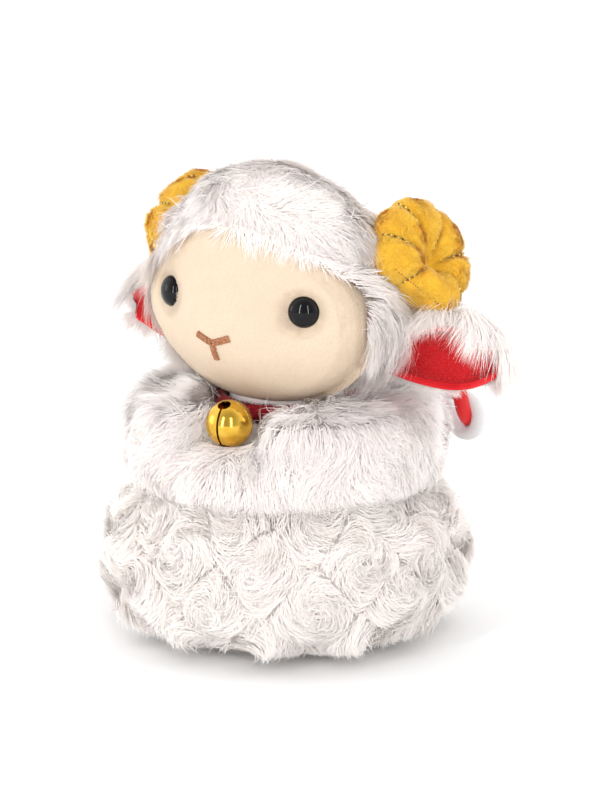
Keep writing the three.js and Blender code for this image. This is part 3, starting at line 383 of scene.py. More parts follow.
def ear_surface(along, across, offset=0.0):
    """A point of the left ear's cloth, offset outward from its middle. Across runs from 0 to 1."""
    direction = np.array([
        math.cos(EAR_DROOP) * math.cos(EAR_SWEEP),
        math.cos(EAR_DROOP) * math.sin(EAR_SWEEP),
        -math.sin(EAR_DROOP),
    ])
    root, widest, tip = EAR_WIDTHS
    rising = root + (widest - root) * np.sin(np.pi / 2 * np.clip(along / EAR_WIDEST, 0, 1))
    rest = np.clip((along - EAR_WIDEST) / (1 - EAR_WIDEST), 0, 1)
    falling = tip + (widest - tip) * np.cos(np.pi / 2 * rest)
    neck = EAR_NECK_SHARE + (1 - EAR_NECK_SHARE) * smooth(*EAR_NECK_RUN, along)
    half = np.where(along < EAR_WIDEST, rising, falling) * neck
    fold = ear_fold(along)
    angle = EAR_FACING + fold * (across - 0.5)
    reach = 2 * half / fold + offset
    start = EAR_ROOT - np.array([EAR_OVERRUN, 0, 0])
    middle = start + (EAR_LENGTH + EAR_OVERRUN) * along[..., None] * direction
    bent = np.stack([0 * angle, reach * np.cos(angle), reach * np.sin(angle)], axis=-1)
    return bent + middle


# Meshes


def new_object(name, mesh, materials, body, slot, replaced=()):
    piece = bpy.data.objects.new(name, mesh)
    bpy.context.scene.collection.objects.link(piece)
    for material in materials:
        mesh.materials.append(material)
    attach(piece, body)
    if replaced:
        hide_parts(*replaced)
    return piece


def new_mesh(name, points, corners, sizes):
    """A mesh from points in millimetres, the faces' corners in a row, and each face's count of corners."""
    mesh = bpy.data.meshes.new(name)
    mesh.vertices.add(len(points))
    mesh.vertices.foreach_set("co", (np.asarray(points) * MM).astype(np.float32).ravel())
    mesh.loops.add(len(corners))
    mesh.loops.foreach_set("vertex_index", np.asarray(corners, np.int32))
    mesh.polygons.add(len(sizes))
    starts = np.concatenate([[0], np.cumsum(sizes)[:-1]]).astype(np.int32)
    mesh.polygons.foreach_set("loop_start", starts)
    mesh.polygons.foreach_set("use_smooth", np.full(len(sizes), True))
    mesh.update(calc_edges=True)
    mesh.validate()
    return mesh


def closed_mesh(name, parts, flip=False):
    """A mesh of closed parts. Each is rings of points, rows[i, j], and a material's number.

    Each end ring is closed by one middle point."""
    points, corners, sizes, numbers, offset = [], [], [], [], 0
    for rows, number in parts:
        count, sides = rows.shape[:2]
        here = np.arange(count * sides).reshape(count, sides)
        after = np.roll(here, -1, axis=1)
        low, high = np.full(sides, count * sides), np.full(sides, count * sides + 1)
        quads = np.stack([here[:-1], after[:-1], after[1:], here[1:]], axis=-1).reshape(-1, 4)
        caps = np.concatenate([
            np.stack([after[0], here[0], low], axis=-1), np.stack([here[-1], after[-1], high], axis=-1)
        ])
        if flip:
            quads, caps = quads[:, ::-1], caps[:, ::-1]
        points.append(np.concatenate([rows.reshape(-1, 3), [rows[0].mean(0), rows[-1].mean(0)]]))
        corners.append(np.concatenate([quads.ravel(), caps.ravel()]) + offset)
        sizes.append(np.repeat([4, 3], [len(quads), len(caps)]))
        numbers.append(np.full(len(quads) + len(caps), number, np.int32))
        offset += len(points[-1])
    mesh = new_mesh(name, np.concatenate(points), np.concatenate(corners), np.concatenate(sizes))
    mesh.polygons.foreach_set("material_index", np.concatenate(numbers))
    return mesh


def add_rings(name, rows, material, body, slot, replaced=(), flip=False):
    """A piece of one closed part."""
    return new_object(name, closed_mesh(name, [(rows, 0)], flip), [material], body, slot, replaced)


def add_parts(name, parts, materials, body, slot, replaced=()):
    """A piece of several closed parts."""
    return new_object(name, closed_mesh(name, parts), materials, body, slot, replaced)


def frames_along(path):
    """Two unit normals that turn as little as they can along a path."""
    tangents = unit(np.gradient(path, axis=0))
    normals = np.zeros_like(path)
    start = UP if abs(tangents[0, 2]) < 0.9 else np.array([1.0, 0, 0])
    normal = unit(flatten(start, tangents[0]))
    for index, tangent in enumerate(tangents):
        normal = unit(flatten(normal, tangent))
        normals[index] = normal
    return normals, np.cross(tangents, normals)


def tube_rows(path, radii, sides):
    """Rings of points round a path."""
    across, over = frames_along(path)
    angles = turns(sides)[None, :, None]
    circle = np.cos(angles) * across[:, None] + np.sin(angles) * over[:, None]
    return path[:, None] + circle * np.broadcast_to(radii, len(path))[:, None, None]


def lathe_rows(outline, steps):
    """Rings of points round the Z axis from pairs of radius and height."""
    outline = np.asarray(outline, float)
    return round_axis(outline[:, :1], turns(steps), outline[:, 1:])


# Materials

WHITE = (1, 1, 1)


def new_material(name, color, roughness, **sockets):
    material = bpy.data.materials.new(name)
    material.use_nodes = True
    shader = material.node_tree.nodes["Principled BSDF"]
    shader.inputs["Base Color"].default_value = (*color, 1)
    shader.inputs["Roughness"].default_value = roughness
    for socket, value in sockets.items():
        shader.inputs[socket.replace("_", " ")].default_value = value
    return material, material.node_tree, shader


def colour_ramp(tree, source, colors):
    ramp = tree.nodes.new("ShaderNodeValToRGB")
    while len(ramp.color_ramp.elements) < len(colors):
        ramp.color_ramp.elements.new(0.5)
    for element, (position, color) in zip(ramp.color_ramp.elements, colors):
        element.position = position
        element.color = (*color, 1)
    tree.links.new(source, ramp.inputs["Fac"])
    return ramp.outputs["Color"]


def noise(tree, scale, detail):
    place = tree.nodes.new("ShaderNodeTexCoord")
    texture = tree.nodes.new("ShaderNodeTexNoise")
    texture.inputs["Scale"].default_value = scale
    texture.inputs["Detail"].default_value = detail
    tree.links.new(place.outputs["Object"], texture.inputs["Vector"])
    return texture.outputs["Fac"]


def add_bump(tree, shader, height, strength, distance):
    bump = tree.nodes.new("ShaderNodeBump")
    bump.inputs["Strength"].default_value = strength
    bump.inputs["Distance"].default_value = distance
    tree.links.new(height, bump.inputs["Height"])
    tree.links.new(bump.outputs["Normal"], shader.inputs["Normal"])


def multiplied(tree, first, second, share=1.0):
    mix = tree.nodes.new("ShaderNodeMix")
    mix.data_type = "RGBA"
    mix.blend_type = "MULTIPLY"
    mix.inputs["Factor"].default_value = share
    tree.links.new(first, mix.inputs[6])
    tree.links.new(second, mix.inputs[7])
    return mix.outputs[2]


MIDDLE_STOP, DULL_STRAND, DULL_STOP = 0.45, (0.93, 0.91, 0.9), 0.3
PATCH_SCALE, PATCH_STOPS = 38, (0.35, 0.65)


def pile_material(name, root, middle, tip, dull):
    """Fur: its colour runs from root to tip of each strand, darker at the root as painted shade, with dull
    patches and a tone for each strand.
    """
    material, tree, shader = new_material(
        name, middle, 0.85, Specular_IOR_Level=0.2, Sheen_Weight=0.2, Sheen_Roughness=0.6
    )
    along, tone = tree.nodes.new("ShaderNodeAttribute"), tree.nodes.new("ShaderNodeAttribute")
    along.attribute_name, tone.attribute_name = "along", "tone"
    # Painted shade: each strand's colour is darker towards its root, where strands shade each other
    base = colour_ramp(tree, along.outputs["Fac"], [(0, root), (MIDDLE_STOP, middle), (1, tip)])
    strand = colour_ramp(tree, tone.outputs["Fac"], [(0, DULL_STRAND), (DULL_STOP, WHITE), (1, WHITE)])
    patch = colour_ramp(tree, noise(tree, PATCH_SCALE, 2), list(zip(PATCH_STOPS, dull)))
    colour = multiplied(tree, multiplied(tree, base, strand), patch)
    tree.links.new(colour, shader.inputs["Base Color"])
    return material


GRAIN, GRAIN_STOPS, GRAIN_SHARE, COARSE_STOPS = (0.86, 0.86, 0.86), (0.25, 0.6), 0.7, (0.3, 0.62)
COARSENESS, NAP_STRENGTH = 9, 0.5


def cloth_material(name, dark, light, scale, roughness=0.9, sheen=0.25, bump=0.00012):
    """Short pile: fine mottling and a soft nap."""
    material, tree, shader = new_material(
        name, light, roughness, Specular_IOR_Level=0.2, Sheen_Weight=sheen, Sheen_Roughness=0.5
    )
    coarse = colour_ramp(tree, noise(tree, scale / COARSENESS, 3), list(zip(COARSE_STOPS, (dark, light))))
    fine = noise(tree, scale, 3)
    grain = colour_ramp(tree, fine, list(zip(GRAIN_STOPS, (GRAIN, WHITE))))
    tree.links.new(multiplied(tree, coarse, grain, GRAIN_SHARE), shader.inputs["Base Color"])
    add_bump(tree, shader, fine, NAP_STRENGTH, bump)
    return material


THREAD_BUMP = (5200, 2, 0.4, 0.00005)


def mottled_material(name, dark, light, roughness=0.55, mottling=(2200, 2), stops=(0.35, 0.6),
                     bump=THREAD_BUMP, plain=None, **sockets):
    """Two tones mixed by noise, given as its scale and detail. A bump adds its strength and distance."""
    material, tree, shader = new_material(name, plain or light, roughness, **sockets)
    colour = colour_ramp(tree, noise(tree, *mottling), list(zip(stops, (dark, light))))
    tree.links.new(colour, shader.inputs["Base Color"])
    if bump:
        scale, detail, strength, distance = bump
        add_bump(tree, shader, noise(tree, scale, detail), strength, distance)
    return material


# Piles: the colours of a strand's root, middle and tip, the darker root being painted shade, and of its dull
# and clear patches
WHITE_FUR = ((0.98, 0.905, 0.875), (0.985, 0.932, 0.905), (0.99, 0.948, 0.922))
CURLY_FUR = ((0.98, 0.915, 0.87), (0.985, 0.938, 0.9), (0.99, 0.95, 0.92))
GOLD_FUR = ((0.82, 0.43, 0.022), (0.95, 0.58, 0.045), (0.97, 0.65, 0.08))
RED_FUR = ((0.7, 0.01, 0.016), (0.88, 0.03, 0.035), (0.92, 0.05, 0.06))
DARK_RED_FUR = ((0.2, 0.004, 0.01), (0.36, 0.009, 0.02), (0.46, 0.018, 0.028))
CREAM_FUR = ((0.7, 0.565, 0.425), (0.71, 0.575, 0.435), (0.72, 0.59, 0.45))
WHITE_PATCHES = ((0.99, 0.975, 0.975), (1, 1, 0.998))
RED_PATCHES = ((0.92, 0.9, 0.9), WHITE)

long_fur = pile_material("long_fur", *WHITE_FUR, WHITE_PATCHES)
curly_fur = pile_material("curly_fur", *CURLY_FUR, WHITE_PATCHES)
gold_pile = pile_material("gold_pile", *GOLD_FUR, ((0.9, 0.86, 0.8), WHITE))
red_pile = pile_material("red_pile", *RED_FUR, RED_PATCHES)
collar_pile = pile_material("collar_pile", *DARK_RED_FUR, RED_PATCHES)
cream_pile = pile_material("cream_pile", *CREAM_FUR, ((0.99, 0.985, 0.98), WHITE))

fur_backing = cloth_material("fur_backing", (0.95, 0.9, 0.87), (0.98, 0.94, 0.92), 900)
face_velour = cloth_material(
    "face_velour", (0.69, 0.555, 0.415), (0.71, 0.572, 0.43), 1500, 0.85, sheen=0.1, bump=0.00004
)
horn_velour = cloth_material(
    "horn_velour", (0.78, 0.4, 0.017), (0.94, 0.55, 0.04), 900, 0.8, sheen=0.2, bump=0.0002
)
ear_velour = cloth_material("ear_velour", (0.62, 0.008, 0.014), (0.8, 0.02, 0.028), 1200, 0.85, sheen=0.2)
collar_velour = cloth_material("collar_velour", (0.26, 0.005, 0.014), (0.38, 0.01, 0.022), 1100, sheen=0.15)

brown_thread = mottled_material("brown_thread", (0.24, 0.085, 0.035), (0.5, 0.21, 0.095))
dark_thread = mottled_material("dark_thread", (0.05, 0.035, 0.02), (0.14, 0.1, 0.05))
rust_thread = mottled_material("rust_thread", (0.3, 0.08, 0.01), (0.5, 0.16, 0.03))
red_thread = mottled_material("red_thread", (0.3, 0.01, 0.02), (0.5, 0.02, 0.03))
gold_thread = mottled_material("gold_thread", (0.9, 0.62, 0.1), (1, 0.85, 0.32), 0.25, Metallic=0.8)
red_cord = mottled_material("red_cord", (0.62, 0.001, 0.002), (0.74, 0.002, 0.004), 0.5)
white_cord = mottled_material("white_cord", (0.74, 0.72, 0.73), (0.8, 0.78, 0.79), 0.5)
white_plastic = mottled_material("white_plastic", (0.8, 0.8, 0.78), (0.9, 0.9, 0.88), 0.5)
steel = mottled_material("steel", (0.22, 0.22, 0.23), (0.35, 0.35, 0.36), 0.35, Metallic=1.0)
brass = mottled_material(
    "gold_brass", (0.66, 0.36, 0.035), (0.78, 0.49, 0.075), 0.14, mottling=(260, 4), stops=(0.3, 0.6),
    bump=(900, 3, 0.12, 0.00002), plain=(0.76, 0.45, 0.06), Metallic=1.0,
)
black_plastic = mottled_material(
    "black_plastic", (0.002, 0.002, 0.003), (0.005, 0.005, 0.006), 0.06, mottling=(300, 2),
    stops=(0.3, 0.7), bump=None, plain=(0.003, 0.003, 0.004), Specular_IOR_Level=0.25,
)


# Twisted cord: two strands, red and white, laid round each other

LAY_RADIUS, LAY_OFFSET, CORD_PITCH, CORD_PHASE = 2.45, 2.05, 26.0, 5.65
CORD_END_STEPS, CORD_END_SHARE, ROPE_STEPS = 3, 0.12, 110
KNOT_PLACE, KNOT_HALF_WIDTH, KNOT_RADIUS = np.array([0, 29.9, 78.3]), 3.4, 3.4
KNOT_WRAPS, KNOT_START, KNOT_STEPS = 1.9, 2.2, 80
CURVE_STEPS = 20


def smooth_path(points, steps):
    """Points evenly spaced along a smooth curve through the given ones."""
    points = np.asarray(points, float)
    padded = np.concatenate([[2 * points[0] - points[1]], points, [2 * points[-1] - points[-2]]])
    dense = []
    for a, b, c, d in zip(padded, padded[1:], padded[2:], padded[3:]):
        for t in np.linspace(0, 1, CURVE_STEPS, endpoint=False):
            dense.append(0.5 * (
                2 * b + (c - a) * t + (2 * a - 5 * b + 4 * c - d) * t**2 + (3 * b - a - 3 * c + d) * t**3
            ))
    dense = np.array(dense + [points[-1]])
    reach = np.concatenate([[0], np.cumsum(np.linalg.norm(np.diff(dense, axis=0), axis=1))])
    wanted = np.linspace(0, reach[-1], steps)
    return np.stack([np.interp(wanted, reach, dense[:, k]) for k in range(3)], axis=-1), reach[-1]


def twisted(path, length, phase, hand, sides):
    """Rings of points of the two strands of a cord that follows a path."""
    across, over = frames_along(path)
    turn = phase + hand * 2 * np.pi * np.linspace(0, length, len(path)) / CORD_PITCH
    steps = np.arange(len(path))
    from_end = np.clip(np.minimum(steps, steps[::-1]) / CORD_END_STEPS, CORD_END_SHARE, 1)
    radii = LAY_RADIUS * np.sqrt(1 - (1 - from_end) ** 2)
    strands = []
    for number in range(2):
        angle = column(turn + np.pi * number)
        offset = np.cos(angle) * across + np.sin(angle) * over
        strands.append((tube_rows(path + LAY_OFFSET * offset, radii, sides), number))
    return strands


bow_path, bow_length = smooth_path(BOW_ROUTE, ROPE_STEPS)
for side, sign in SIDES.items():
    path = bow_path * np.array([sign, 1, 1])
    piece = add_parts(
        f"{side}_bow_rope", twisted(path, bow_length, CORD_PHASE, sign, 20), [red_cord, white_cord],
        "root", "bow_cord", [f"{side}_bow_cord"],
    )

knot_turns = np.linspace(0, 2 * np.pi * KNOT_WRAPS, KNOT_STEPS)
knot_path = KNOT_PLACE + np.stack([
    KNOT_HALF_WIDTH * (2 * knot_turns / knot_turns[-1] - 1),
    KNOT_RADIUS * np.cos(knot_turns + KNOT_START),
    KNOT_RADIUS * np.sin(knot_turns + KNOT_START),
], axis=-1)
knot_length = np.linalg.norm(np.diff(knot_path, axis=0), axis=1).sum()
add_parts(
    "bow_knot_wraps", twisted(knot_path, knot_length, 0, 1, 16), [red_cord, white_cord], "root", "bow_cord",
    ["bow_knot"],
)


# Fur

SCATTER_ROWS, SCATTER_COLUMNS, SLOPE_STEP = 110, 160, 1e-3
STRAND_WIDTH, PIECE_STRANDS, TILT_REACH = 0.22, 28000, 12
TURN_SPREAD, WILD_TURN, WILD_RISE, WILD_FREEDOM = 0.12, 0.7, (0.1, 0.5), 0.8
BEND_SPREAD, LEAST_BEND, ROLL_SPREAD = 0.25, 0.02, 0.16
SPREADS = dict(rise=(0.85, 1.1), length=(0.8, 1.1), ripple=(0.6, 1.3), width=(0.7, 1.25))
LAYER_POWER, DRAW_POWER, TAPER, TAPER_POWER, START_REACH = 0.6, 1.3, 0.75, 1.5, 0.4
SOFTEN = 0.96

# The count of strands of each pile
STRANDS = dict(
    head=104000, upper=104000, lower=92000, face=40000, horn=26000, ear=17000, ear_lining=6000, collar=9000
)

# How the short piles stand, apart from what each gives for itself
SHORT_PILE = dict(droop=0.4, lock=2.0, lock_pull=0.2, tuft=0.9, tuft_pull=0.3, frizz=0.05)


def scatter(surface, count, seed, middle, keep=None, low=(0, 0), high=(1, 1)):
    """Random places on a surface, even over its area, with normals that look away from the middle.

    The middle is one point, or a function that gives one for each place."""
    rng = np.random.default_rng(seed)
    count = int(count * STRAND_SHARE)
    u = low[0] + (high[0] - low[0]) * (np.arange(SCATTER_ROWS) + 0.5) / SCATTER_ROWS
    v = low[1] + (high[1] - low[1]) * (np.arange(SCATTER_COLUMNS) + 0.5) / SCATTER_COLUMNS
    u, v = (a.ravel() for a in grid(u, v))
    step = SLOPE_STEP

    def slopes(a, b):
        return surface(a + step, b) - surface(a - step, b), surface(a, b + step) - surface(a, b - step)

    areas = np.linalg.norm(np.cross(*slopes(u, v)), axis=-1)
    chosen = rng.choice(len(u), size=count, p=areas / areas.sum())
    u = u[chosen] + (rng.random(count) - 0.5) * (high[0] - low[0]) / SCATTER_ROWS
    v = v[chosen] + (rng.random(count) - 0.5) * (high[1] - low[1]) / SCATTER_COLUMNS
    points, normals = surface(u, v), unit(np.cross(*slopes(u, v)))
    if keep:
        kept = keep(points)
        points, normals = points[kept], normals[kept]
    centre = middle(points) if callable(middle) else middle
    normals[np.sum((points - centre) * normals, axis=1) < 0] *= -1
    return points, normals


def grow(roots, normals, comb, lengths, seed, rise, droop, lean, bend=0.0, lock=5.0, lock_pull=0.2, tuft=1.4,
         tuft_pull=0.28, stray=0.3, frizz=0.3, sag=0.0, wild=0.0, depth=0.0, steps=3):
    """The middle line of each strand. It rises out of the surface and bends over the way it is combed.

    Strands draw together towards their tips, in small tufts and in larger locks, and each lock has a way
    of its own. A wild share of them stands up loose. Roots lie in layers up to a depth over the cloth."""
    rng = np.random.default_rng(seed)
    count = len(roots)
    lock_middle, lock_luck = nearest_of(roots, scattered_centres(roots, lock, seed))
    tuft_middle, tuft_luck = nearest_of(roots, scattered_centres(roots, tuft, seed + 1))
    roots = roots + normals * column(depth * rng.random(count) ** LAYER_POWER)
    comb = unit(flatten(comb, normals))
    side = np.cross(normals, comb)
    loose = rng.random(count) < wild
    turn = rng.normal(0, TURN_SPREAD, count)
    turn += stray * (2 * lock_luck - 1) + 0.5 * stray * (2 * tuft_luck - 1)
    turn += loose * rng.normal(0, WILD_TURN, count)
    comb = comb * column(np.cos(turn)) + side * column(np.sin(turn))
    side = np.cross(normals, comb)
    draw = flatten(lock_middle - roots, normals) * lock_pull
    draw = (draw + flatten(tuft_middle - roots, normals) * tuft_pull) * column(1 - WILD_FREEDOM * loose)
    bend = np.broadcast_to(bend, count) + rng.normal(0, BEND_SPREAD, count)
    bend = np.where(np.abs(bend) < LEAST_BEND, LEAST_BEND, bend)
    rise = np.broadcast_to(rise, count) * rng.uniform(*SPREADS["rise"], count) * (0.85 + 0.3 * lock_luck)
    rise = rise + loose * rng.uniform(*WILD_RISE, count)
    lengths = lengths * rng.uniform(*SPREADS["length"], count) * (0.9 + 0.2 * tuft_luck)
    phase, wave = rng.uniform(0, 2 * np.pi, count), rng.uniform(*SPREADS["ripple"], count)
    lines = np.zeros((count, steps + 1, 3))
    for index, t in enumerate(np.linspace(0, 1, steps + 1)):
        turned = bend * t
        reach = lengths * lean * (START_REACH + (1 - START_REACH) * t)
        ripple = frizz * np.sin(phase + wave * 2 * np.pi * t) * t
        lines[:, index] = roots + draw * t**DRAW_POWER
        lines[:, index] += normals * column(lengths * rise * (t - droop * t * t))
        lines[:, index] += comb * column(reach * np.sin(turned) / bend)
        lines[:, index] += side * column(reach * (1 - np.cos(turned)) / bend + ripple)
        lines[:, index, 2] -= sag * t**2
    return lines


def strand_mesh(name, lines, normals, width, seed, soften):
    """A mesh of flat tapering strands along their middle lines."""
    rng = np.random.default_rng(seed)
    count, levels = lines.shape[:2]
    tangents = unit(np.gradient(lines, axis=1))
    roll = rng.normal(0, ROLL_SPREAD, count)[:, None, None]
    across = unit(np.cross(tangents, normals[:, None]))
    across = across * np.cos(roll) + np.cross(across, tangents) * np.sin(roll)
    facing = np.cross(across, tangents)
    along = np.linspace(0, 1, levels)
    half = 0.5 * width * column(rng.uniform(*SPREADS["width"], count))
    half = half * (1 - TAPER * along[:-1] ** TAPER_POWER)
    reach = across[:, :-1] * half[..., None]
    edges = np.stack([lines[:, :-1] - reach, lines[:, :-1] + reach], axis=2).reshape(count, -1, 3)
    points = np.concatenate([edges, lines[:, -1:]], axis=1)
    each = points.shape[1]
    shading = unit(normals[:, None] * soften + facing * (1 - soften))
    shading = np.concatenate([np.repeat(shading[:, :-1], 2, axis=1), shading[:, -1:]], axis=1)
    along = np.concatenate([np.repeat(along[:-1], 2), [1.0]])
    pairs = 2 * np.arange(levels - 2)
    quad = np.stack([pairs, pairs + 1, pairs + 3, pairs + 2], axis=-1).ravel()
    tip = np.array([each - 3, each - 2, each - 1])
    corners = (np.concatenate([quad, tip]) + column(each * np.arange(count))).ravel()
    sizes = np.tile(np.concatenate([np.full(levels - 2, 4), [3]]), count)
    mesh = new_mesh(name, points.reshape(-1, 3), corners, sizes)
    for label, values in (
        ("along", np.tile(along, count)),
        ("tone", np.repeat(rng.random(count), each)),
    ):
        attribute = mesh.attributes.new(label, "FLOAT", "POINT")
        attribute.data.foreach_set("value", values.astype(np.float32))
    mesh.normals_split_custom_set_from_vertices(shading.reshape(-1, 3).astype(np.float32))
    return mesh


def add_fur(name, body, slot, material, lines, normals, seed, width=STRAND_WIDTH, soften=SOFTEN):
    """Pieces of fur, each of at most PIECE_STRANDS strands."""
    for number, start in enumerate(range(0, len(lines), PIECE_STRANDS)):
        part = slice(start, start + PIECE_STRANDS)
        mesh = strand_mesh(f"{name}_{number}", lines[part], normals[part], width, seed + number, soften)
        new_object(f"{name}_{number}", mesh, [material], body, slot)


def tilted(normals, points, middle, share):
    """Normals turned away from an upright axis, for strands that are seen from the side."""
    away = (points - middle) * LEVEL
    far = smooth(0, TILT_REACH, np.linalg.norm(away, axis=1))
    return unit(normals + unit(away) * np.reshape(share, (-1, 1)) * column(far))


def pushed_out(lines, centre, radius):
    """Moves points out of a ball."""
    away = lines - centre
    distance = np.linalg.norm(away, axis=-1, keepdims=True)
    return np.where(distance < radius, centre + away / np.maximum(distance, 1e-6) * radius, lines)


# Zones of a pile. A table gives each zone's bounds and what it adds to the pile. A bound names a measure of
# the roots, and where on it the zone's share is none and full.


def zone_shares(table, **measures):
    """The share of each zone at each root, from 0 to 1."""
    return {
        zone: math.prod(smooth(none, full, measures[name]) for name, none, full in bounds)
        for zone, (bounds, _) in table.items()
    }


def zoned(table, zones, key, base=0.0):
    """A base value, and what the zones add to it at each root."""
    return base + sum(table[zone][1][key] * share for zone, share in zones.items() if key in table[zone][1])


# Head

HEAD_MIDDLE = np.array([0, -HEAD_FORWARD, HEAD_Z])
COMB_START, COMB_FLATTEN, COMB_SWIRL = np.array([-4.0, -2.0, 162.0]), np.array([1, 1, 0.6]), 0.35
FRINGE_REACH, LIFT_REACH, NECK_FUR_Z = 0.95, (1.03, 0.98), 90
FAR_HORN_SHARE, BROW_THINNING, BROW_RAGGED = 0.2, 0.5, 0.35
BROW = [("start_reach", 1.3, 0.95), ("start_z", FACE_Z, FACE_Z + 22)]
HEAD_ZONES = {
    "near_brow": (BROW + [("x", -20, -8)], dict(length=-2.0, rise=-0.02, sag=1.2, right=0.5)),
    "far_brow": (BROW + [("x", -8, -20)], dict(length=6.0, rise=-0.02, sag=1.2, down=1.2)),
    "cheek": (
        [("width", 26, 36), ("z", 116, 104), ("z", 78, 86)], dict(length=5.5, rise=0.15, sag=3.0, down=1.4)
    ),
    "temple": (
        [("x", 20, 32), ("z", 104, 112), ("start_reach", 1.4, 1.05)], dict(length=-2.5, out=1.2, down=-0.9)
    ),
    "under": ([("z", 90, 80)], dict(length=-3.0)),
    "crown": ([("z", 130, 150)], dict(depth=-2.4)),
    "beside_ear": ([("from_ear", 15, 7), ("width", 14, 24)], dict(length=3.0, rise=0.3, out=1.6)),
    "beside_horn": (
        [("from_horn", 26, 19), ("width", 20, 29), ("y", 6, -2)],
        dict(length=5.0, rise=0.7, out=1.3, back=0.4),
    ),
}


def keep_head(points):
    neck = np.hypot(points[:, 0], points[:, 1] + NECK_LEAN) < NECK_TOP_RADIUS
    return (face_reach(points) > FRINGE_REACH) & ~(neck & (points[:, 2] < NECK_FUR_Z))


def head_comb(roots, zones):
    """Down and out from a place over the crown, with slow swirls."""
    away = unit((roots - COMB_START) * COMB_FLATTEN)
    aside = unit(np.cross(away, unit(roots - HEAD_MIDDLE)))
    swirl = column(COMB_SWIRL * waves(roots, 30, 11) + COMB_SWIRL * waves(roots, 12, 12))
    out, right, back, down = (zoned(HEAD_ZONES, zones, key) for key in ("out", "right", "back", "down"))
    turned = np.stack([out * np.sign(roots[:, 0]) - right, back, -down], axis=-1)
    return away * np.cos(swirl) + aside * np.sin(swirl) + turned


head_skin = add_rings(
    "head_skin", head_surface(*grid(np.linspace(0.01, 0.99, 60), shares(96))), fur_backing, "root",
    "long_fur", ["head_cover", "head_stuffing"], flip=True,
)

roots, normals = scatter(head_surface, STRANDS["head"], 21, HEAD_MIDDLE, keep_head)
start_z, start_reach = roots[:, 2], face_reach(roots)
roots = roots + normals * column(SKIN_INSET * smooth(*LIFT_REACH, start_reach))
x, y, z = roots.T
zones = zone_shares(
    HEAD_ZONES, start_reach=start_reach, start_z=start_z, x=x, y=y, z=z, width=np.abs(x),
    from_ear=np.hypot(y - EAR_ROOT[1], z - EAR_ROOT[2]),
    from_horn=np.hypot(y - HORN_PLACE[1], z - HORN_PLACE[2]),
)
zones["beside_horn"] = zones["beside_horn"] * np.where(x > 0, 1, FAR_HORN_SHARE)
brow = zones["near_brow"] + zones["far_brow"]
lengths = zoned(HEAD_ZONES, zones, "length", 8.5) * (1 + BROW_RAGGED * brow * waves(roots, 5, 27))
depth = zoned(HEAD_ZONES, zones, "depth", 3.0) + 0.6 * waves(roots, 14, 26)
lines = grow(
    roots, normals, head_comb(roots, zones), lengths, 22,
    rise=zoned(HEAD_ZONES, zones, "rise", 0.17) + 0.05 * waves(roots, 15, 23), droop=0.6, lean=0.88,
    bend=0.5 * waves(roots, 18, 24), sag=zoned(HEAD_ZONES, zones, "sag"), wild=0.06,
    depth=depth * (1 - BROW_THINNING * brow),
)
add_fur("head_fur", "root", "long_fur", long_fur, lines, tilted(normals, roots, HEAD_MIDDLE, 0.6), 25)


# Face, with its edge tucked in, and the eyes

FACE_OUTER, FACE_INNER, FACE_TUCK, FACE_TUCK_REACH = 0.35, -1.4, 1.1, (0.95, 1.005)
EYE_STEM_RADIUS, EYE_STEM, EYE_BACK, EYE_BEVEL, EYE_LIFT = 1.5, 4.0, 0.2, 0.3, 0.25
DOME_POLE, DOME_START, DOME_END = 1e-3, 0.06, math.pi / 2 - 0.01


def face_rows(offset):
    """Rings of points of the face panel, from its middle to its edge."""
    reach = column(np.concatenate([np.linspace(0.02, 0.97, 40), [0.99, 1.005]]))
    tuck = FACE_TUCK * smooth(*FACE_TUCK_REACH, reach)
    return on_face(*face_place(reach, turns(120)), offset - tuck[..., None])


face = add_rings(
    "face_cloth", np.concatenate([face_rows(FACE_OUTER), face_rows(FACE_INNER)[::-1]]), face_velour, "root",
    "face_velour", ["face_panel"],
)

eye_outline = [
    (NEAR_AXIS, -EYE_STEM), (EYE_STEM_RADIUS, -EYE_STEM), (EYE_STEM_RADIUS, -EYE_BACK),
    (EYE_RADIUS - EYE_BEVEL, -EYE_BACK), (EYE_RADIUS, EYE_BEVEL - EYE_BACK), (EYE_RADIUS, EYE_RIM),
]
eye_outline += [
    (EYE_RADIUS * math.cos(a) + DOME_POLE, EYE_RIM + (EYE_DOME - EYE_RIM) * math.sin(a))
    for a in np.linspace(DOME_START, DOME_END, 22)
]
for side, sign in SIDES.items():
    x, z = np.array(sign * EYE_X), np.array(EYE_Z)
    turn = Vector((0, 0, 1)).rotation_difference(Vector(face_normal(x, z))).to_matrix()
    rows = lathe_rows(eye_outline, 48) @ np.array(turn).T + on_face(x, z, EYE_LIFT)
    add_rings(f"{side}_eye_dome", rows, black_plastic, "root", "black_plastic", [f"{side}_eye"])
    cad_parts[f"{side}_eye_washer"].data.materials.clear()
    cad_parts[f"{side}_eye_washer"].data.materials.append(white_plastic)


# Pile of the face, at its edge and beside the eyes, where it is longer and leans over their rims

PILE_REACH, PILE_LIFT, PILE_EDGE, EYE_PILE_RING = 0.98, 0.3, 0.86, 3
FACE_PILE, RIM_PILE, RIM_ABOVE = 0.9, 1.3, 1


def face_surface(share, around):
    return on_face(*face_place(PILE_REACH * share, 2 * np.pi * around), PILE_LIFT)


def eye_distance(points):
    return np.hypot(np.abs(points[:, 0]) - EYE_X, points[:, 2] - EYE_Z)


def keep_face(points):
    from_eye = eye_distance(points)
    near = (from_eye < EYE_RADIUS + EYE_PILE_RING) | (face_reach(points) > PILE_EDGE)
    return (from_eye > EYE_RADIUS) & near


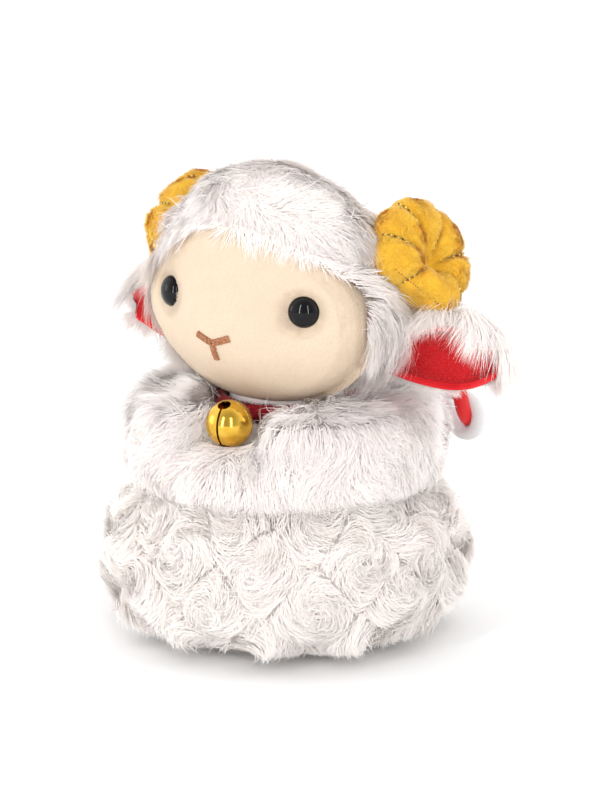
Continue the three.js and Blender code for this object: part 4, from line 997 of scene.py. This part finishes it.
roots, normals = scatter(
    face_surface, STRANDS["face"], 34, np.array([0, 20.0, FACE_Z]), keep_face, (0.02, 0)
)
beside_eye = smooth(EYE_RADIUS + 2.5, EYE_RADIUS + 0.5, eye_distance(roots))
inner_rim = beside_eye * smooth(1, -3, np.abs(roots[:, 0]) - EYE_X)
aside = np.sign(roots[:, :1]) * np.array([1, 0, 0])
comb = 0.5 * aside - UP + column(inner_rim) * (3 * aside + 1.2 * UP) + 0.5 * wander(roots, 9, 35)
lines = grow(
    roots, normals, comb, FACE_PILE + RIM_PILE * inner_rim * (roots[:, 2] < EYE_Z + RIM_ABOVE), 38,
    rise=0.3 + 0.3 * beside_eye, lean=0.8, steps=2, **dict(SHORT_PILE, lock_pull=0.05, tuft_pull=0.1),
)
add_fur("face_pile", "root", "face_velour", cream_pile, lines, normals, 39, width=0.18, soften=1.0)


# Nose: satin stitches laid across three short bars

NOSE_WIDTH, NOSE_THREAD, NOSE_PITCH, NOSE_SPREAD = 2.1, 0.3, 0.5, (0.92, 1.06)
NOSE_LIFT, NOSE_CROWN, NOSE_GROOVE = 0.25, 0.75, 0.15
NOSE_ENDS = np.array([0.5, 0.9, 1, 1, 1, 1, 1, 0.9, 0.5])


def nose_bar(start, end, seed):
    rng = np.random.default_rng(seed)
    start, end = np.array(start), np.array(end)
    count = int(round(np.linalg.norm(end - start) / NOSE_PITCH))
    along = unit(end - start)
    aside = np.array([along[1], -along[0]])
    spans = np.linspace(-1, 1, len(NOSE_ENDS))
    lift = NOSE_LIFT + NOSE_CROWN * np.sqrt(np.maximum(0, 1 - spans**2)) - NOSE_GROOVE * (np.abs(spans) < 0.1)
    tubes = []
    for share in (np.arange(count) + 0.5) / count:
        across = aside + along * rng.normal(0, 0.1)
        reach = NOSE_WIDTH / 2 * rng.uniform(*NOSE_SPREAD)
        x, z = (start + (end - start) * share + across * reach * column(spans)).T
        tubes.append((tube_rows(on_face(x, z, column(lift)), NOSE_THREAD * NOSE_ENDS, 8), 0))
    return tubes


for name, start, end, seed in (
    ("nose_left_stitches", (0.25, NOSE_Z + 0.5), (NOSE_REACH, NOSE_Z + NOSE_RISE), 31),
    ("nose_right_stitches", (-0.25, NOSE_Z + 0.5), (-NOSE_REACH, NOSE_Z + NOSE_RISE), 32),
    ("nose_lower_stitches", (0, NOSE_Z + 0.3), (0, NOSE_Z - NOSE_DROP), 33),
):
    add_parts(f"{name}_threads", nose_bar(start, end, seed), [brown_thread], "root", "brown_thread", [name])


# Rolls of the body

ROLL_SIDES, NECK_INSET, NECK_FOOT_Z = 120, 0.8, 78.0
BASE_OUTLINE = [(0.05, 0.0), (27.4, 0.0), (27.9, 0.3), (27.9, 1.5), (27.4, 1.8), (0.05, 1.8)]

lower_skin = add_rings(
    "lower_skin", lower_surface(*grid(np.linspace(0, 1, 48), shares(ROLL_SIDES))), fur_backing, "root",
    "curly_fur", ["lower_body_cover", "lower_body_stuffing"],
)

neck_rows = [
    round_axis(NECK_RADIUS - NECK_INSET, turns(ROLL_SIDES), NECK_FOOT_Z),
    round_axis(NECK_TOP_RADIUS - NECK_INSET, turns(ROLL_SIDES), NECK_TOP - NECK_INSET) - [0, NECK_LEAN, 0],
]
upper_rows = upper_surface(*grid(np.linspace(0, 1.5, 60), shares(ROLL_SIDES)))
upper_skin = add_rings(
    "upper_skin", np.concatenate([upper_rows, neck_rows]), fur_backing, "root", "long_fur",
    ["upper_body_cover", "upper_body_stuffing"],
)

add_rings("base_cloth", lathe_rows(BASE_OUTLINE, 96), fur_backing, "root", "curly_fur", ["base_panel"])

UPPER_ZONES = {
    "hem": ([("z", 60, 52)], dict(length=-3.0)),
    "under_bell": ([("turn", 0.36, 0.2), ("radius", 27, 32)], {}),
    "chest": ([("turn", 0.36, 0.2), ("radius", 27, 32), ("radius", 47, 42)], dict(length=-3.0)),
    "top": ([("radius", 48, 43), ("z", 56, 64)], dict(rise=0.12)),
    "collar_edge": ([("radius", 33, 27)], dict(rise=0.6)),
}
UPPER_THINNING, BELL_ROOM = 0.6, 0.4
BELL_SWINGS = np.radians([-12, -6, 0, 6, 12])


def bell_way(swing=0.0):
    return np.array([math.sin(BELL_TURN + swing), -math.cos(BELL_TURN + swing), 0])


def upper_comb(points):
    """Down, with slow swirls, and outward on top."""
    away = unit(points * LEVEL)
    swirl = column(0.5 * waves(points, 34, 41) + 0.4 * waves(points, 11, 42))
    crest = column(smooth(64, 69, points[:, 2]))
    swirled = -UP * np.cos(swirl) + np.cross(away, -UP) * np.sin(swirl) * (1 - 0.6 * crest)
    return unit(away * (0.35 + 1.1 * crest) + swirled)


roots, normals = scatter(
    upper_surface, STRANDS["upper"], 43, np.array([0, 0, 58.0]), None, (0.1, 0), (1.5, 1)
)
zones = zone_shares(UPPER_ZONES, radius=off_axis(roots), z=roots[:, 2], turn=from_bell(roots))
for zone in ("top", "collar_edge"):
    zones[zone] = zones[zone] * (1 - zones["under_bell"])
depth = 3.4 + 1.0 * waves(roots, 14, 48)
lines = grow(
    roots, normals, upper_comb(roots), zoned(UPPER_ZONES, zones, "length", 9.0), 44,
    rise=zoned(UPPER_ZONES, zones, "rise", 0.2) + 0.05 * waves(roots, 15, 45), droop=0.55, lean=0.88,
    bend=0.5 * waves(roots, 20, 46), wild=0.06, depth=depth * (1 - UPPER_THINNING * zones["hem"]),
)
for swing in BELL_SWINGS:
    reach = bell_way() * STAPLE_REACH + bell_way(swing) * (BELL_REACH - STAPLE_REACH)
    lines = pushed_out(lines, reach + UP * COLLAR_Z, BELL_RADIUS + BELL_ROOM)
faces = tilted(normals, roots, np.zeros(3), 0.3 + 0.7 * zones["top"])
add_fur("upper_fur", "root", "long_fur", long_fur, lines, faces, 47)

LOWER_ZONES = {
    "foot": ([("z", 14, 3)], dict(length=-4.5, depth=-0.85)),
    "brim": ([("z", 40, 47)], dict(rise=0.5)),
    "shoulder": ([("z", 32, 43)], dict(depth=0.5)),
}
HIDDEN_RADIUS, HIDDEN_Z, FLOOR_GAP = 40, 44, 0.15
CURL_BEND, CURL_HEART, CURL_BENDS = 7.0, 3.0, (0.5, 1.8)


def curl_comb(points, normals, seed):
    """The way the curly pile is combed: round the middle of each curl, and how strongly it bends in."""
    centre, luck = nearest_of(points, curl_centres(points, seed))
    toward = flatten(centre - points, normals)
    near = np.linalg.norm(toward, axis=1)
    hand = np.where(luck > 0.5, 1.0, -1.0)
    around = np.cross(normals, unit(toward)) * column(hand)
    return around + 0.35 * unit(toward) - 0.3 * UP, -hand * np.clip(
        CURL_BEND / np.maximum(near, CURL_HEART), *CURL_BENDS
    )


roots, normals = scatter(lower_surface, STRANDS["lower"], 51, np.array([0, 0, 25.0]), None, (0.02, 0))
seen = (off_axis(roots) >= HIDDEN_RADIUS) | (roots[:, 2] <= HIDDEN_Z)
roots, normals = roots[seen], normals[seen]
zones = zone_shares(LOWER_ZONES, z=roots[:, 2])
comb, bend = curl_comb(roots, normals, 52)
comb = unit(comb) + 0.3 * unit(flatten(-UP[None], normals)) * column(waves(roots, 12, 53))
lines = grow(
    roots, normals, comb, zoned(LOWER_ZONES, zones, "length", 9.0), 54,
    rise=zoned(LOWER_ZONES, zones, "rise", 0.16) + 0.05 * waves(roots, 14, 55), droop=0.55, lean=0.85,
    bend=bend, lock_pull=0.1, tuft_pull=0.22, frizz=0.45, wild=0.08,
    depth=(3.4 + 0.8 * waves(roots, 12, 58)) * zoned(LOWER_ZONES, zones, "depth", 1.0), steps=4,
)
lines[..., 2] = np.maximum(lines[..., 2], FLOOR_GAP)
add_fur("lower_fur", "root", "curly_fur", curly_fur, lines, normals, 56)


# Horns: velour with a short pile, metallic stitches along the radial seams and a dashed seam by the chord

HORN_DOWN = np.concatenate([np.linspace(0.01, 0.5, 44), np.linspace(0.52, 0.99, 26)])
HORN_SKIN_INSET, HORN_FLOW = 0.3, np.array([0.2, 0.4, -1.0])
HORN_STITCH_RUN, HORN_STITCH_PLACES = (0.09, 0.46), 12
SEAM_DOWN, SEAM_HALF_TURN, SEAM_PLACES = 0.40, 0.72, 22
DASH_ENDS, DASH_BULGE = np.array([0.5, 0.95, 1, 0.95, 0.5]), 0.25


def stitch_line(angle):
    """Places on the horn's coiled face along a radial stitch, with the normals there."""
    around = angle / (2 * np.pi)
    down = np.linspace(*HORN_STITCH_RUN, HORN_STITCH_PLACES)
    place = horn_surface(down, around + 0 * down)
    ahead = horn_surface(down + SLOPE_STEP, around + 0 * down)
    aside = horn_surface(down, around + SLOPE_STEP + 0 * down)
    normal = unit(np.cross(ahead - place, aside - place))
    return place, normal * np.sign(np.sum(normal * horn_axes()[2], axis=1))[:, None]


def dashes(places, normals, lift, radius, gap=0.3):
    """Short threads between neighbouring places, alternating between two material slots."""
    tubes = []
    t = column(np.linspace(gap / 2, 1 - gap / 2, len(DASH_ENDS)))
    for number, (a, b, n) in enumerate(zip(places, places[1:], normals)):
        path = a + (b - a) * t + n * (lift + DASH_BULGE * np.sin(np.pi * t))
        tubes.append((tube_rows(path, radius * DASH_ENDS, 7), number % 2))
    return tubes


def horn_skin_surface(down, around):
    return horn_surface(down, around, HORN_SKIN_INSET)


for side, sign in SIDES.items():
    mirror = np.array([sign, 1, 1])
    horn = add_rings(
        f"{side}_horn_skin", horn_skin_surface(*grid(HORN_DOWN, shares(180))) * mirror, horn_velour, "root",
        "horn_velour", [f"{side}_horn_cover", f"{side}_horn_stuffing"], flip=sign > 0,
    )
    roots, normals = scatter(
        horn_skin_surface, STRANDS["horn"], 62, HORN_PLACE, None, (0.02, 0), (0.72, 1)
    )
    lines = grow(
        roots, normals, HORN_FLOW + wander(roots, 9, 63), 1.7 + 0.5 * waves(roots, 5, 68), 66, rise=0.7,
        lean=0.7, steps=2, **dict(SHORT_PILE, lock=2.2, frizz=0.06),
    )
    add_fur(
        f"{side}_horn_pile", "root", "horn_velour", gold_pile, lines * mirror, normals * mirror, 67, width=0.2
    )
    tubes = [tube for angle in HORN_STITCHES for tube in dashes(*stitch_line(angle), 0.5, 0.3)]
    add_parts(
        f"{side}_horn_stitches", [(rows * mirror, slot) for rows, slot in tubes], [dark_thread, gold_thread],
        "root", "gold_brass",
    )
    around = np.linspace(HORN_CHORD - SEAM_HALF_TURN, HORN_CHORD + SEAM_HALF_TURN, SEAM_PLACES) / (2 * np.pi)
    place = horn_surface(SEAM_DOWN + 0 * around, around)
    tubes = dashes(place, np.broadcast_to(horn_axes()[2], place.shape), 0.35, 0.22, 0.45)
    add_parts(
        f"{side}_horn_seam", [(rows * mirror, 0) for rows, _ in tubes], [rust_thread], "root", "horn_velour"
    )


# Ears: a fur cover over a red lining, with the lining's edge turned, and a fringe from the upper lip

EAR_START, EAR_FUR_X, EAR_FUR_SOFTNESS = -0.08, 78.0, 5
EAR_COVER, EAR_LINING, HEM_RADIUS = (0.15, 1.3), (-1.2, -0.15), 0.95
EAR_PILE, FRINGE_LEAN, TIP_COMB = 1.3, np.array([0.2, -1.0, 0]), np.array([-0.3, -1.8, -0.5])
EAR_ZONES = {
    "upper_lip": ([("across", 0.62, 0.95)], dict(length=9.0, rise=0.4, sag=10.5)),
    "fringe": ([("across", 0.62, 0.95), ("along", 0.45, 0.8)], dict(length=4.0, sag=5.0)),
    "fringe_end": ([("across", 0.62, 0.95), ("along", 0.72, 0.98)], dict(length=-7.0)),
    "lower_lip": ([("across", 0.4, 0.1)], dict(rise=-0.3)),
    "lower_side": ([("across", 0.4, 0.1), ("along", 0.98, 0.72)], dict(length=-5.0)),
    "tip": ([("along", 0.72, 0.98)], dict(sag=2.0)),
}
ear_ends = ear_surface(np.array([0.0, 1.0]), np.array([0.5, 0.5]))
ear_way = unit(ear_ends[1] - ear_ends[0])


def ear_axis(points):
    return EAR_ROOT + np.outer((points - EAR_ROOT) @ ear_way, ear_way)


def ear_outside(along, across):
    return ear_surface(along, across, EAR_COVER[1])


def ear_inside(along, across):
    return ear_surface(along, across, EAR_LINING[0])


def ear_hem():
    """The lining's turned edge: from the root along the lower lip, round the tip and back along the upper."""
    along = np.linspace(EAR_START, 0.985, 30)
    across = np.linspace(0.0, 1.0, 12)[1:-1]
    lower, upper = ear_surface(along, 0 * along), ear_surface(along[::-1], 0 * along + 1)
    tip = ear_surface(0 * across + 0.99, across)
    return smooth_path(np.concatenate([lower, tip, upper]), 120)[0]


for side, sign in SIDES.items():
    mirror, body = np.array([sign, 1, 1]), f"{side}_ear"
    places = grid(np.linspace(EAR_START, 1, 40), np.linspace(0, 1, 36))
    for piece, (low, high), material, slot, node in (
        ("cover", EAR_COVER, fur_backing, "long_fur", "outer"),
        ("lining_cloth", EAR_LINING, ear_velour, "ear_velour", "lining"),
    ):
        rows = np.concatenate([ear_surface(*places, high), ear_surface(*places, low)[:, ::-1]], axis=1)
        add_rings(f"{body}_{piece}", rows * mirror, material, body, slot, [f"{body}_{node}"], flip=sign < 0)
    add_rings(f"{body}_hem", tube_rows(ear_hem() * mirror, HEM_RADIUS, 10), ear_velour, body, "ear_velour")

    roots, normals = scatter(ear_outside, STRANDS["ear"], 71, ear_axis, None, (EAR_START, 0))
    along = np.clip((roots - EAR_ROOT) @ ear_way / EAR_LENGTH, 0, 1)
    from_axis = roots - ear_axis(roots)
    angle = np.arctan2(from_axis[:, 2], from_axis[:, 1])
    zones = zone_shares(EAR_ZONES, along=along, across=(angle - EAR_FACING) / ear_fold(along) + 0.5)
    upper_lip, lower_lip = zones["upper_lip"], zones["lower_lip"]
    round_fold = np.stack([0 * angle, -np.sin(angle), np.cos(angle)], axis=-1)
    comb = ear_way + 0.4 * wander(roots, 14, 72) + column(zones["tip"]) * TIP_COMB
    comb += column(upper_lip) * (1.8 * round_fold - 0.3 * ear_way) + column(lower_lip) * round_fold
    lines = grow(
        roots, normals, comb, zoned(EAR_ZONES, zones, "length", 9.5), 75,
        rise=zoned(EAR_ZONES, zones, "rise", 0.45), droop=0.5, lean=0.85, lock=4.0, lock_pull=0.45, stray=0.6,
        sag=zoned(EAR_ZONES, zones, "sag", 1.0), wild=0.12,
        depth=(3.0 + waves(roots, 9, 80)) * (1 - lower_lip) * (1 - 0.6 * upper_lip), steps=4,
    )
    beyond = np.maximum(lines[..., 0] - EAR_FUR_X, 0)
    lines[..., 0] -= beyond - EAR_FUR_SOFTNESS * np.tanh(beyond / EAR_FUR_SOFTNESS)
    faces = unit(normals + column(upper_lip) * FRINGE_LEAN)
    add_fur(f"{body}_fur", body, "long_fur", long_fur, lines * mirror, faces * mirror, 76)

    roots, normals = scatter(
        ear_inside, STRANDS["ear_lining"], 77, ear_axis, None, (EAR_START, 0.02), (0.98, 0.98)
    )
    lines = grow(
        roots, -normals, np.broadcast_to(ear_way, roots.shape), np.full(len(roots), EAR_PILE), 78, rise=0.6,
        lean=0.6, **SHORT_PILE,
    )
    add_fur(f"{body}_pile", body, "ear_velour", red_pile, lines * mirror, -normals * mirror, 79, width=0.26)


# Collar

COLLAR_STEPS, COLLAR_PILE = (16, 120), 1.8


def collar_surface(section, around):
    angle, turn = 2 * np.pi * section, 2 * np.pi * around
    radius = COLLAR_MIDDLE + COLLAR_HALF * np.cos(angle)
    return round_axis(radius, turn, COLLAR_Z + COLLAR_HIGH * np.sin(angle))


def collar_mesh():
    rows = collar_surface(*grid(*(shares(count) for count in COLLAR_STEPS)))
    here = np.arange(math.prod(COLLAR_STEPS)).reshape(COLLAR_STEPS)
    right, down = np.roll(here, -1, axis=1), np.roll(here, -1, axis=0)
    quads = np.stack([here, right, np.roll(right, -1, axis=0), down], axis=-1).reshape(-1, 4)
    return new_mesh("collar_band", rows.reshape(-1, 3), quads.ravel(), np.full(len(quads), 4))


def collar_axis(points):
    return unit(points * LEVEL) * COLLAR_MIDDLE + UP * COLLAR_Z


new_object("collar_band", collar_mesh(), [collar_velour], "root", "collar_velour", ["collar"])
roots, normals = scatter(collar_surface, STRANDS["collar"], 81, collar_axis, None, (-0.3, 0), (0.3, 1))
lines = grow(
    roots, normals, wander(roots, 6, 82), np.full(len(roots), COLLAR_PILE), 85, rise=0.6, lean=0.5,
    **dict(SHORT_PILE, droop=0.3, frizz=0.1),
)
add_fur("collar_pile", "root", "collar_velour", collar_pile, lines, normals, 86)


# Bell

RIM_ROUNDING, RIM_HEIGHT, SHELL_SIDES = (0.14, 0.05), 0.05, 144
POLE_ANGLE, RIM_ANGLE = 0.02, np.pi / 2 - 0.004
SLOT_DEPTH, SLOT_OVERRUN, HOLE_OVERRUN = 2.0, 1.0, 3.0
BALL_RADIUS, BALL_DROP = 1.8, 4.9
LOOP_RADIUS, RING_RADIUS, RING_SIDES = 1.5, 1.6, 48
RIVET_OUTLINE = [(0.02, -2.75), (1.5, -2.75), (1.5, -2.35), (0.7, -2.35), (0.7, -1.3), (0.02, -1.3)]
STAPLE_ROUTE = [
    (0, 2.2, 23.2), (0, 2.15, 24.4), (0, 1.2, 24.66), (0, -1.2, 24.66), (0, -2.15, 24.4), (0, -2.2, 23.2),
]
SHARP_ANGLE = math.radians(40)


def on_bell_line(points, reach=BELL_REACH):
    """Puts points made round the origin, with +Z out along the bell's line, at a distance along it."""
    x, y, z = points[..., 0], -points[..., 2] - reach, points[..., 1] + COLLAR_Z
    c, s = math.cos(BELL_TURN), math.sin(BELL_TURN)
    return np.stack([c * x - s * y, s * x + c * y, z], axis=-1)


def shell_rows(front):
    inner = BELL_RADIUS - BELL_WALL
    rim = np.linspace(POLE_ANGLE, RIM_ANGLE, 48)
    outline = [(BELL_RADIUS * math.cos(a), BELL_RADIUS * math.sin(a)) for a in rim[::-1]]
    outline += [(BELL_RADIUS - RIM_ROUNDING[0], RIM_HEIGHT), (inner + RIM_ROUNDING[1], RIM_HEIGHT)]
    outline += [(inner * math.cos(a), inner * math.sin(a)) for a in rim]
    rows = lathe_rows(outline, SHELL_SIDES)
    return rows if front else rows * HALF_TURN_ABOUT_X


def cut(piece, cutters):
    """Cuts the cutters out of a mesh piece, and removes them."""
    for cutter in cutters:
        modifier = piece.modifiers.new("cut", "BOOLEAN")
        modifier.operation = "DIFFERENCE"
        modifier.solver = "EXACT"
        modifier.object = cutter
    depsgraph = bpy.context.evaluated_depsgraph_get()
    mesh = bpy.data.meshes.new_from_object(piece.evaluated_get(depsgraph))
    piece.modifiers.clear()
    piece.data = mesh
    for cutter in cutters:
        bpy.data.objects.remove(cutter)
    for polygon in mesh.polygons:
        polygon.use_smooth = True
    mesh.set_sharp_from_angle(angle=SHARP_ANGLE)


def cutter(name, rows):
    """A cutter whose faces look outward, whichever way its rings run."""
    first, second = rows[len(rows) // 2 - 1], rows[len(rows) // 2]
    face = np.cross(second[0] - first[0], first[1] - first[0])
    looks_in = np.sum(face * (0.5 * (first[0] + first[1]) - first.mean(0))) > 0
    obj = bpy.data.objects.new(name, closed_mesh(name, [(rows, 0)], bool(looks_in)))
    bpy.context.scene.collection.objects.link(obj)
    return obj


def slot_rows():
    """A curved blade that follows the bell's front from hole to hole."""
    low, high, half = BELL_RADIUS - SLOT_DEPTH, BELL_RADIUS + SLOT_OVERRUN, SLOT_WIDTH / 2
    corners = ((-half, low), (half, low), (half, high), (-half, high))
    return np.array([
        [(x, reach * math.sin(a), reach * math.cos(a)) for x, reach in corners]
        for a in np.linspace(-SLOT_ANGLE, SLOT_ANGLE, 41)
    ])


def hole_rows(angle):
    rows = lathe_rows([(HOLE_RADIUS, BELL_RADIUS / 2), (HOLE_RADIUS, BELL_RADIUS + HOLE_OVERRUN)], 40)
    c, s = math.cos(angle), math.sin(angle)
    x, y, z = rows[..., 0], rows[..., 1], rows[..., 2]
    return np.stack([x, y * c + z * s, z * c - y * s], axis=-1)


for name, front in (("bell_front", True), ("bell_back", False)):
    shell = add_rings(
        f"{name}_dome", on_bell_line(shell_rows(front)), brass, "bell", "gold_brass", [f"{name}_shell"],
        flip=True,
    )
    if front:
        cut(shell, [
            cutter("slot", on_bell_line(slot_rows())),
            cutter("hole_top", on_bell_line(hole_rows(SLOT_ANGLE))),
            cutter("hole_low", on_bell_line(hole_rows(-SLOT_ANGLE))),
        ])
    shell.data.materials.clear()
    shell.data.materials.append(brass)

ball_outline = [
    (BALL_RADIUS * math.sin(a) + DOME_POLE, -BALL_RADIUS * math.cos(a))
    for a in np.linspace(POLE_ANGLE, math.pi - POLE_ANGLE, 20)
]
ball_rows = on_bell_line(lathe_rows(ball_outline, 28) - [0, BALL_DROP, 0])
add_rings("bell_ball", ball_rows, steel, "pellet", "steel", ["bell_pellet"])


def wire_ring(radius, axes):
    """Rings of points of a wire ring, with its plane set by the order of the axes."""
    turn = 2 * np.pi * np.arange(RING_SIDES + 1) / RING_SIDES
    return tube_rows(round_axis(radius, turn, 0)[:, axes], WIRE, 12)


loop_parts = [
    (on_bell_line(wire_ring(LOOP_RADIUS, [2, 1, 0]), LOOP_REACH), 0),
    (on_bell_line(lathe_rows(RIVET_OUTLINE, 24) * HALF_TURN_ABOUT_X, LOOP_REACH), 0),
]
add_parts("bell_eye_wire", loop_parts, [brass], "bell", "gold_brass", ["bell_loop"])
ring_rows = on_bell_line(wire_ring(RING_RADIUS, [0, 2, 1]), RING_REACH)
add_rings("bell_ring_thread", ring_rows, red_thread, "ring", "red_thread", ["bell_ring"])
staple_rows = on_bell_line(tube_rows(smooth_path(STAPLE_ROUTE, 30)[0], WIRE, 10), 0)
add_rings("bell_staple_thread", staple_rows, red_thread, "root", "red_thread", ["bell_staple"])


# Floor, lamps and world, in metres

FLOOR_SIZE, FLOOR_COLOUR = 16, (0.94, 0.94, 0.94)
LAMPS = (
    # name, azimuth in degrees, distance, height, height aimed at, width, height of the lamp, power
    ("left_strip", 4, 1.25, 0.5, 0.1, 0.09, 1.0, 5.4),
    ("right_strip", 47, 1.25, 0.5, 0.1, 0.09, 1.0, 4.4),
    ("left_fill", -60, 1.2, 0.3, 0.07, 0.5, 0.5, 1.2),
    ("right_fill", 125, 1.2, 0.3, 0.07, 0.5, 0.5, 0.8),
)
SKY_AXIS, SKY_STRENGTH = (0.5, -0.75, 0.43), 1.36
SKY_STOPS = [(0.35, WHITE), (0.85, (0.42, 0.42, 0.42))]

bpy.ops.mesh.primitive_plane_add(size=FLOOR_SIZE, location=(0, 0, 0))
floor = bpy.context.object
floor.name = "floor"
floor.data.materials.append(new_material("floor", FLOOR_COLOUR, 0.9)[0])

for name, azimuth, distance, height, aim, width, lamp_height, power in LAMPS:
    turn = math.radians(azimuth)
    place = Vector((distance * math.sin(turn), -distance * math.cos(turn), height))
    data = bpy.data.lights.new(name, "AREA")
    data.shape = "RECTANGLE"
    data.size, data.size_y = width, lamp_height
    data.energy = power
    lamp = bpy.data.objects.new(name, data)
    bpy.context.scene.collection.objects.link(lamp)
    lamp.location = place
    lamp.rotation_euler = (Vector((0, 0, aim)) - place).to_track_quat("-Z", "Y").to_euler()

# The world is white, and darker on the camera's side, for the eyes and the bell to mirror both tones
world = bpy.data.worlds.new("studio")
bpy.context.scene.world = world
world.use_nodes = True
sky = world.node_tree
toward_front = sky.nodes.new("ShaderNodeVectorMath")
toward_front.operation = "DOT_PRODUCT"
toward_front.inputs[1].default_value = SKY_AXIS
sky.links.new(sky.nodes.new("ShaderNodeTexCoord").outputs["Generated"], toward_front.inputs[0])
shade = colour_ramp(sky, toward_front.outputs["Value"], SKY_STOPS)
sky.links.new(shade, sky.nodes["Background"].inputs["Color"])
sky.nodes["Background"].inputs["Strength"].default_value = SKY_STRENGTH

bpy.context.scene.view_settings.view_transform = "Standard"
